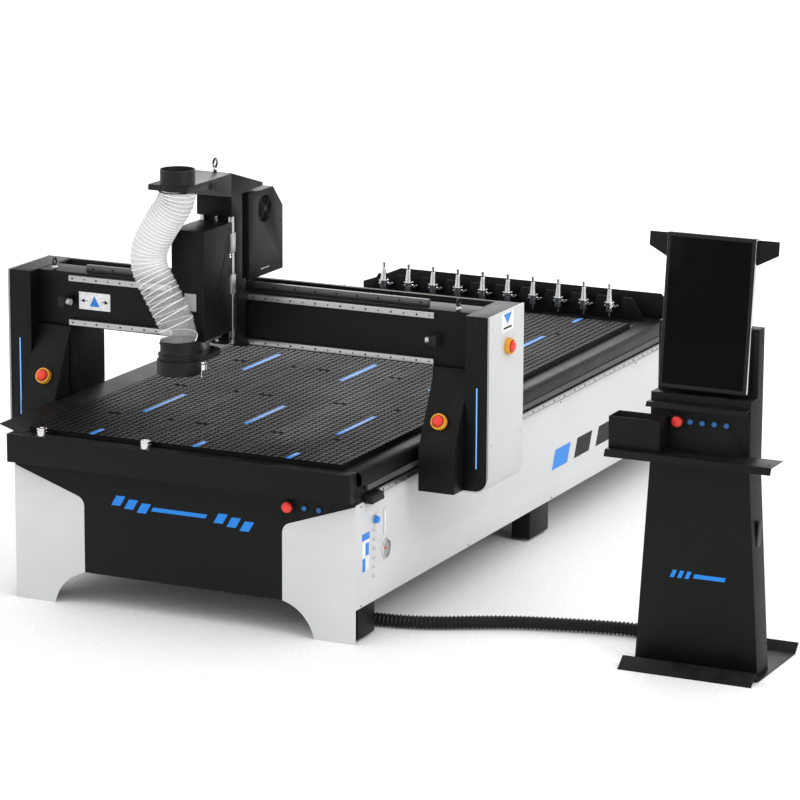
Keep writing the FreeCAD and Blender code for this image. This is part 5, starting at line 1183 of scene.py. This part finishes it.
class ROUTER_OT_z_head(bpy.types.Operator):
    """Finishes the Z slide, spindle, cover and dust shoe"""

    bl_idname = "router.z_head"
    bl_label = "Z head"

    def execute(self, context):
        dressed("z_slide", "machined", 1.5 * MM)
        dressed("spindle_cover", "black_coat", 1.6 * MM)
        dressed("spindle_motor", "machined", 2.0 * MM)
        dressed("dust_shoe", "black_plastic", 2.2 * MM)
        low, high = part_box("spindle_cover")
        lamps = []
        for step in range(7):
            bead = stack([(3, -0.5), (3, 1.0), (2, 1.8), (1, 2.0)], 14)
            lamp_place = Vector((high.x, at(0, 448, 0).y, (1497 + 11 * step) * MM))
            lamps.append(moved(bead, turned_to(RIGHT, lamp_place)))
        finish_piece(joined(lamps), "status_lamps", "lamp_white", "z_head")
        heads = [Vector((high.x, at(0, y, 0).y, z * MM)) for y in (235, 440) for z in (1195, 1420, 1620)]
        screws("cover_side_screws", heads, RIGHT, "z_head", 3.6)
        heads = [Vector((low.x, place.y, place.z)) for place in heads]
        screws("cover_left_screws", heads, LEFT, "z_head", 3.6)
        tag = block(Vector((high.x - 94 * MM, low.y - 1.2 * MM, 1300 * MM)),
                    Vector((high.x - 38 * MM, low.y + 1 * MM, 1374 * MM)), 0.6 * MM)
        finish_piece(tag, "head_tag", "pale_trim", "z_head")
        nut = stack([(20, 61), (25, 58), (25, 34), (21, 30), (6, 29.5), (5, 29), (5, 14), (4.2, 12),
                     (4.2, 0.6),
                     (1, 0)], 36)
        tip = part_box("spindle_rotor")[0].z
        centre = middle("spindle_rotor")
        arbor = stack([(20, 61), (20, 131), (1, 131)], 36)
        notches = []
        for step in range(8):
            notch = block((-3 * MM, 22.4 * MM, 38 * MM), (3 * MM, 24.9 * MM, 54 * MM), 0.6 * MM, 1)
            notches.append(moved(notch, Matrix.Rotation(math.radians(45 * step), 4, "Z")))
        rotor = moved(joined([nut, arbor] + notches), Matrix.Translation((centre.x, centre.y, tip)))
        finish_piece(rotor, "spindle_nut", "bright_steel", "spindle_rotor")
        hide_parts("spindle_rotor")
        for number, height in enumerate((1126, 1176)):
            place = Vector((middle("spindle_motor").x, at(0, 130, 0).y, height * MM))
            deselect()
            bpy.ops.mesh.primitive_torus_add(major_radius=81 * MM, minor_radius=3 * MM, major_segments=64,
                                             minor_segments=10, location=place)
            bpy.ops.object.transform_apply(location=True, rotation=True, scale=True)
            finish_piece(soften(context.active_object, 0), f"collar_band_{number}", "cast_black", "z_head")
        return {"FINISHED"}


# ---------------------------------------------------------------- controls
def outward_axis(node):
    """Outward direction of a pressed piece, against its joint's travel."""
    joint = next(item for item in frame["joints"] if item["child"] == node)
    low, high = joint.get("range_m", (0, 0))
    sign = 1 if abs(low) > abs(high) else -1
    return Vector(joint["axis"]) * sign


class ROUTER_OT_controls(bpy.types.Operator):
    """Adds the stop buttons with their rings and the push buttons"""

    bl_idname = "router.controls"
    bl_label = "Buttons"

    def execute(self, context):
        stops = {
            "left_stop_button": (12, True), "right_stop_button": (12, True), "side_stop_button": (12, True),
            "front_stop_button": (8, False), "console_stop_button": (8, False),
        }
        for node, (standoff, ring) in stops.items():
            outward = outward_axis(node)
            start = self.start(node, outward, standoff)
            head = stack([(9, -18), (9, standoff), (19, standoff), (22, standoff + 4), (23.5, standoff + 9),
                          (23.5, standoff + 15), (21.5, standoff + 19), (16, standoff + 22),
                          (9, standoff + 23.6),
                          (1, standoff + 24)], 36)
            moved(head, turned_to(outward, start))
            finish_piece(head, f"{node}_head", "red_plastic", node)
            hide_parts(node)
            if ring:
                guard = stack([(35, 0.2), (35, 20), (34, 22), (28, 22), (27, 20), (26.8, 3), (11, 2.6)], 40)
                moved(guard, turned_to(outward, start))
                finish_piece(guard, f"{node}_ring", "yellow_plastic", "gantry")
                if node == "side_stop_button":
                    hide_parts("stop_shrouds")
                continue
            collar = stack([(26, 0.1), (26, 1.5), (25, 2.2), (10, 2.2)], 32)
            finish_piece(moved(collar, turned_to(outward, start)), f"{node}_collar", "cast_black", "base")
        for node in sorted(name for name in BODY_OF if name.startswith(("front_button", "console_button"))):
            outward = FRONT
            low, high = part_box(node)
            place = Vector(((low.x + high.x) / 2, low.y + 8 * MM, (low.z + high.z) / 2))
            cap = stack([(11, -16), (11, 6), (10.2, 7.4), (8.6, 7.6), (8, 7.0), (1, 7.0)], 28)
            moved(cap, turned_to(outward, place))
            finish_piece(cap, f"{node}_cap", "button_blue", node)
            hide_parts(node)
            bezel = stack([(15, 0.1), (15, 2.4), (14, 3.2), (12, 3.2), (11.7, 0.2)], 32)
            finish_piece(moved(bezel, turned_to(outward, place)), f"{node}_bezel", "cast_black", "base")
        for word, x in (("first", -663), ("second", -157)):
            pin = stack([(21.9, 709), (22, 748), (22, 762), (20.5, 764), (20.5, 767), (22, 769), (22, 774),
                         (18, 778), (10, 778), (9, 776), (1, 776)], 40)
            moved(pin, Matrix.Translation(at(x, -28, 0)))
            finish_piece(pin, f"location_pin_{word}", "bright_steel", "location_pins")
            if word == "first":
                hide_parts("location_pins")
            seat = stack([(28, 741.9), (28, 743), (27, 743.6), (23, 743.6)], 40)
            moved(seat, Matrix.Translation(at(x, -28, 0)))
            finish_piece(seat, f"pin_seat_{word}", "cast_black", "base")
        return {"FINISHED"}

    def start(self, node, outward, standoff):
        """Where the button's axis meets its panel."""
        centre = middle(node)
        half = (standoff + 24 + 18) / 2
        return centre - outward * (half - 18) * MM


# ---------------------------------------------------------------- console
class ROUTER_OT_console(bpy.types.Operator):
    """Finishes the console: column, base, shelves, holder box and monitor"""

    bl_idname = "router.console"
    bl_label = "Console"

    def execute(self, context):
        dressed("console_base", "black_coat", 1.0 * MM)
        dressed("console_column", "black_coat", 1.8 * MM)
        dressed("console_shelves", "black_coat", 0.9 * MM)
        dressed("monitor_mount", "black_coat", 1.6 * MM)
        dressed("monitor", "black_plastic", 3.0 * MM, 3)
        lean = math.radians(-6.76)
        low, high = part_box("monitor")
        tilt = Matrix.Translation(Vector((0, at(0, 307, 0).y, 1171 * MM))) @ Matrix.Rotation(lean, 4, "X")
        glass = block((low.x + 15 * MM, -1.2 * MM, 16 * MM), (high.x - 15 * MM, 2 * MM, 612 * MM), 0.8 * MM)
        finish_piece(moved(glass, tilt), "monitor_glass", "screen_glass", "base")
        for word, x0, x1 in (("left", low.x - 1.2 * MM, low.x + 3 * MM),
                             ("right", high.x - 3 * MM, high.x + 1.2 * MM)):
            edge = block((x0, 4 * MM, 3 * MM), (x1, 26 * MM, 625 * MM), 1.2 * MM)
            finish_piece(moved(edge, tilt), f"monitor_edge_{word}", "bright_steel", "base")
        x_mid = middle("console_base").x
        face = at(0, 300, 0).y
        foot_lean = (311 - 300) / 850

        def on_column(x, z):
            return Vector((x_mid + x * MM, face + (850 - z) * foot_lean * MM - 0.2 * MM, z * MM))

        for step in range(3):
            start = -120 + 32 * step
            corners = [on_column(start + dx, 398 + dz)
                       for dx, dz in ((0, -16), (18, -16), (32, 16), (14, 16))]
            plate(corners, FRONT, "blue_line", "base", f"console_stripe_{step}")
        bar = [on_column(x, z) for x, z in ((-18, 388), (118, 388), (124, 406), (-12, 406))]
        plate(bar, FRONT, "blue_line", "base", "console_bar")
        vent_x = x_mid + 215 * MM
        lean_out = (268 - 215) / 850
        handle = block((0, -22 * MM, -55 * MM), (9 * MM, 22 * MM, 55 * MM), 5 * MM, 3)
        turn = Matrix.Rotation(math.atan(lean_out), 4, "Y")
        latch_place = Vector((vent_x + 262 * lean_out * MM, at(0, 372, 0).y, 588 * MM))
        moved(handle, Matrix.Translation(latch_place) @ turn)
        finish_piece(handle, "door_latch", "black_plastic", "base")
        heads = [Vector((vent_x + max(0, 850 - z) * lean_out * MM, at(0, 420, 0).y, z * MM))
                 for z in (120, 480, 800, 1100, 1380)]
        screws("column_screws", heads, RIGHT, "base", 4)
        heads = [Vector((x_mid + x * MM, at(0, 205, 0).y, 924 * MM)) for x in (-330, -60, 60, 200, 330)]
        screws("shelf_screws", heads, UP, "base", 4)
        return {"FINISHED"}


OPERATORS = (
    ROUTER_OT_stage, ROUTER_OT_conduit, ROUTER_OT_hose, ROUTER_OT_bed, ROUTER_OT_panel_fittings,
    ROUTER_OT_table,
    ROUTER_OT_long_rails, ROUTER_OT_cross_rails, ROUTER_OT_pinions, ROUTER_OT_tools, ROUTER_OT_gantry,
    ROUTER_OT_head, ROUTER_OT_z_head, ROUTER_OT_controls, ROUTER_OT_console,
)


class ROUTER_PT_sidebar(bpy.types.Panel):
    """Lists the sizes, the colours and the build steps"""

    bl_label = "Router"
    bl_idname = "ROUTER_PT_sidebar"
    bl_space_type = "VIEW_3D"
    bl_region_type = "UI"
    bl_category = "Router"

    def draw(self, context):
        for group in (context.scene.router_sizes, context.scene.router_colours):
            for key in group.__annotations__:
                self.layout.prop(group, key)
        for operator in OPERATORS:
            self.layout.operator(operator.bl_idname)


CLASSES = (RouterSizes, RouterColours, *OPERATORS, ROUTER_PT_sidebar)


def register():
    for item in CLASSES:
        bpy.utils.register_class(item)
    bpy.types.Scene.router_sizes = bpy.props.PointerProperty(type=RouterSizes)
    bpy.types.Scene.router_colours = bpy.props.PointerProperty(type=RouterColours)


def unregister():
    del bpy.types.Scene.router_colours
    del bpy.types.Scene.router_sizes
    for item in reversed(CLASSES):
        bpy.utils.unregister_class(item)


def main():
    register()
    FINISHES.update(build_finishes())
    for operator in OPERATORS:
        group, name = operator.bl_idname.split(".")
        getattr(getattr(bpy.ops, group), name)()


if __name__ == "__main__":
    main()
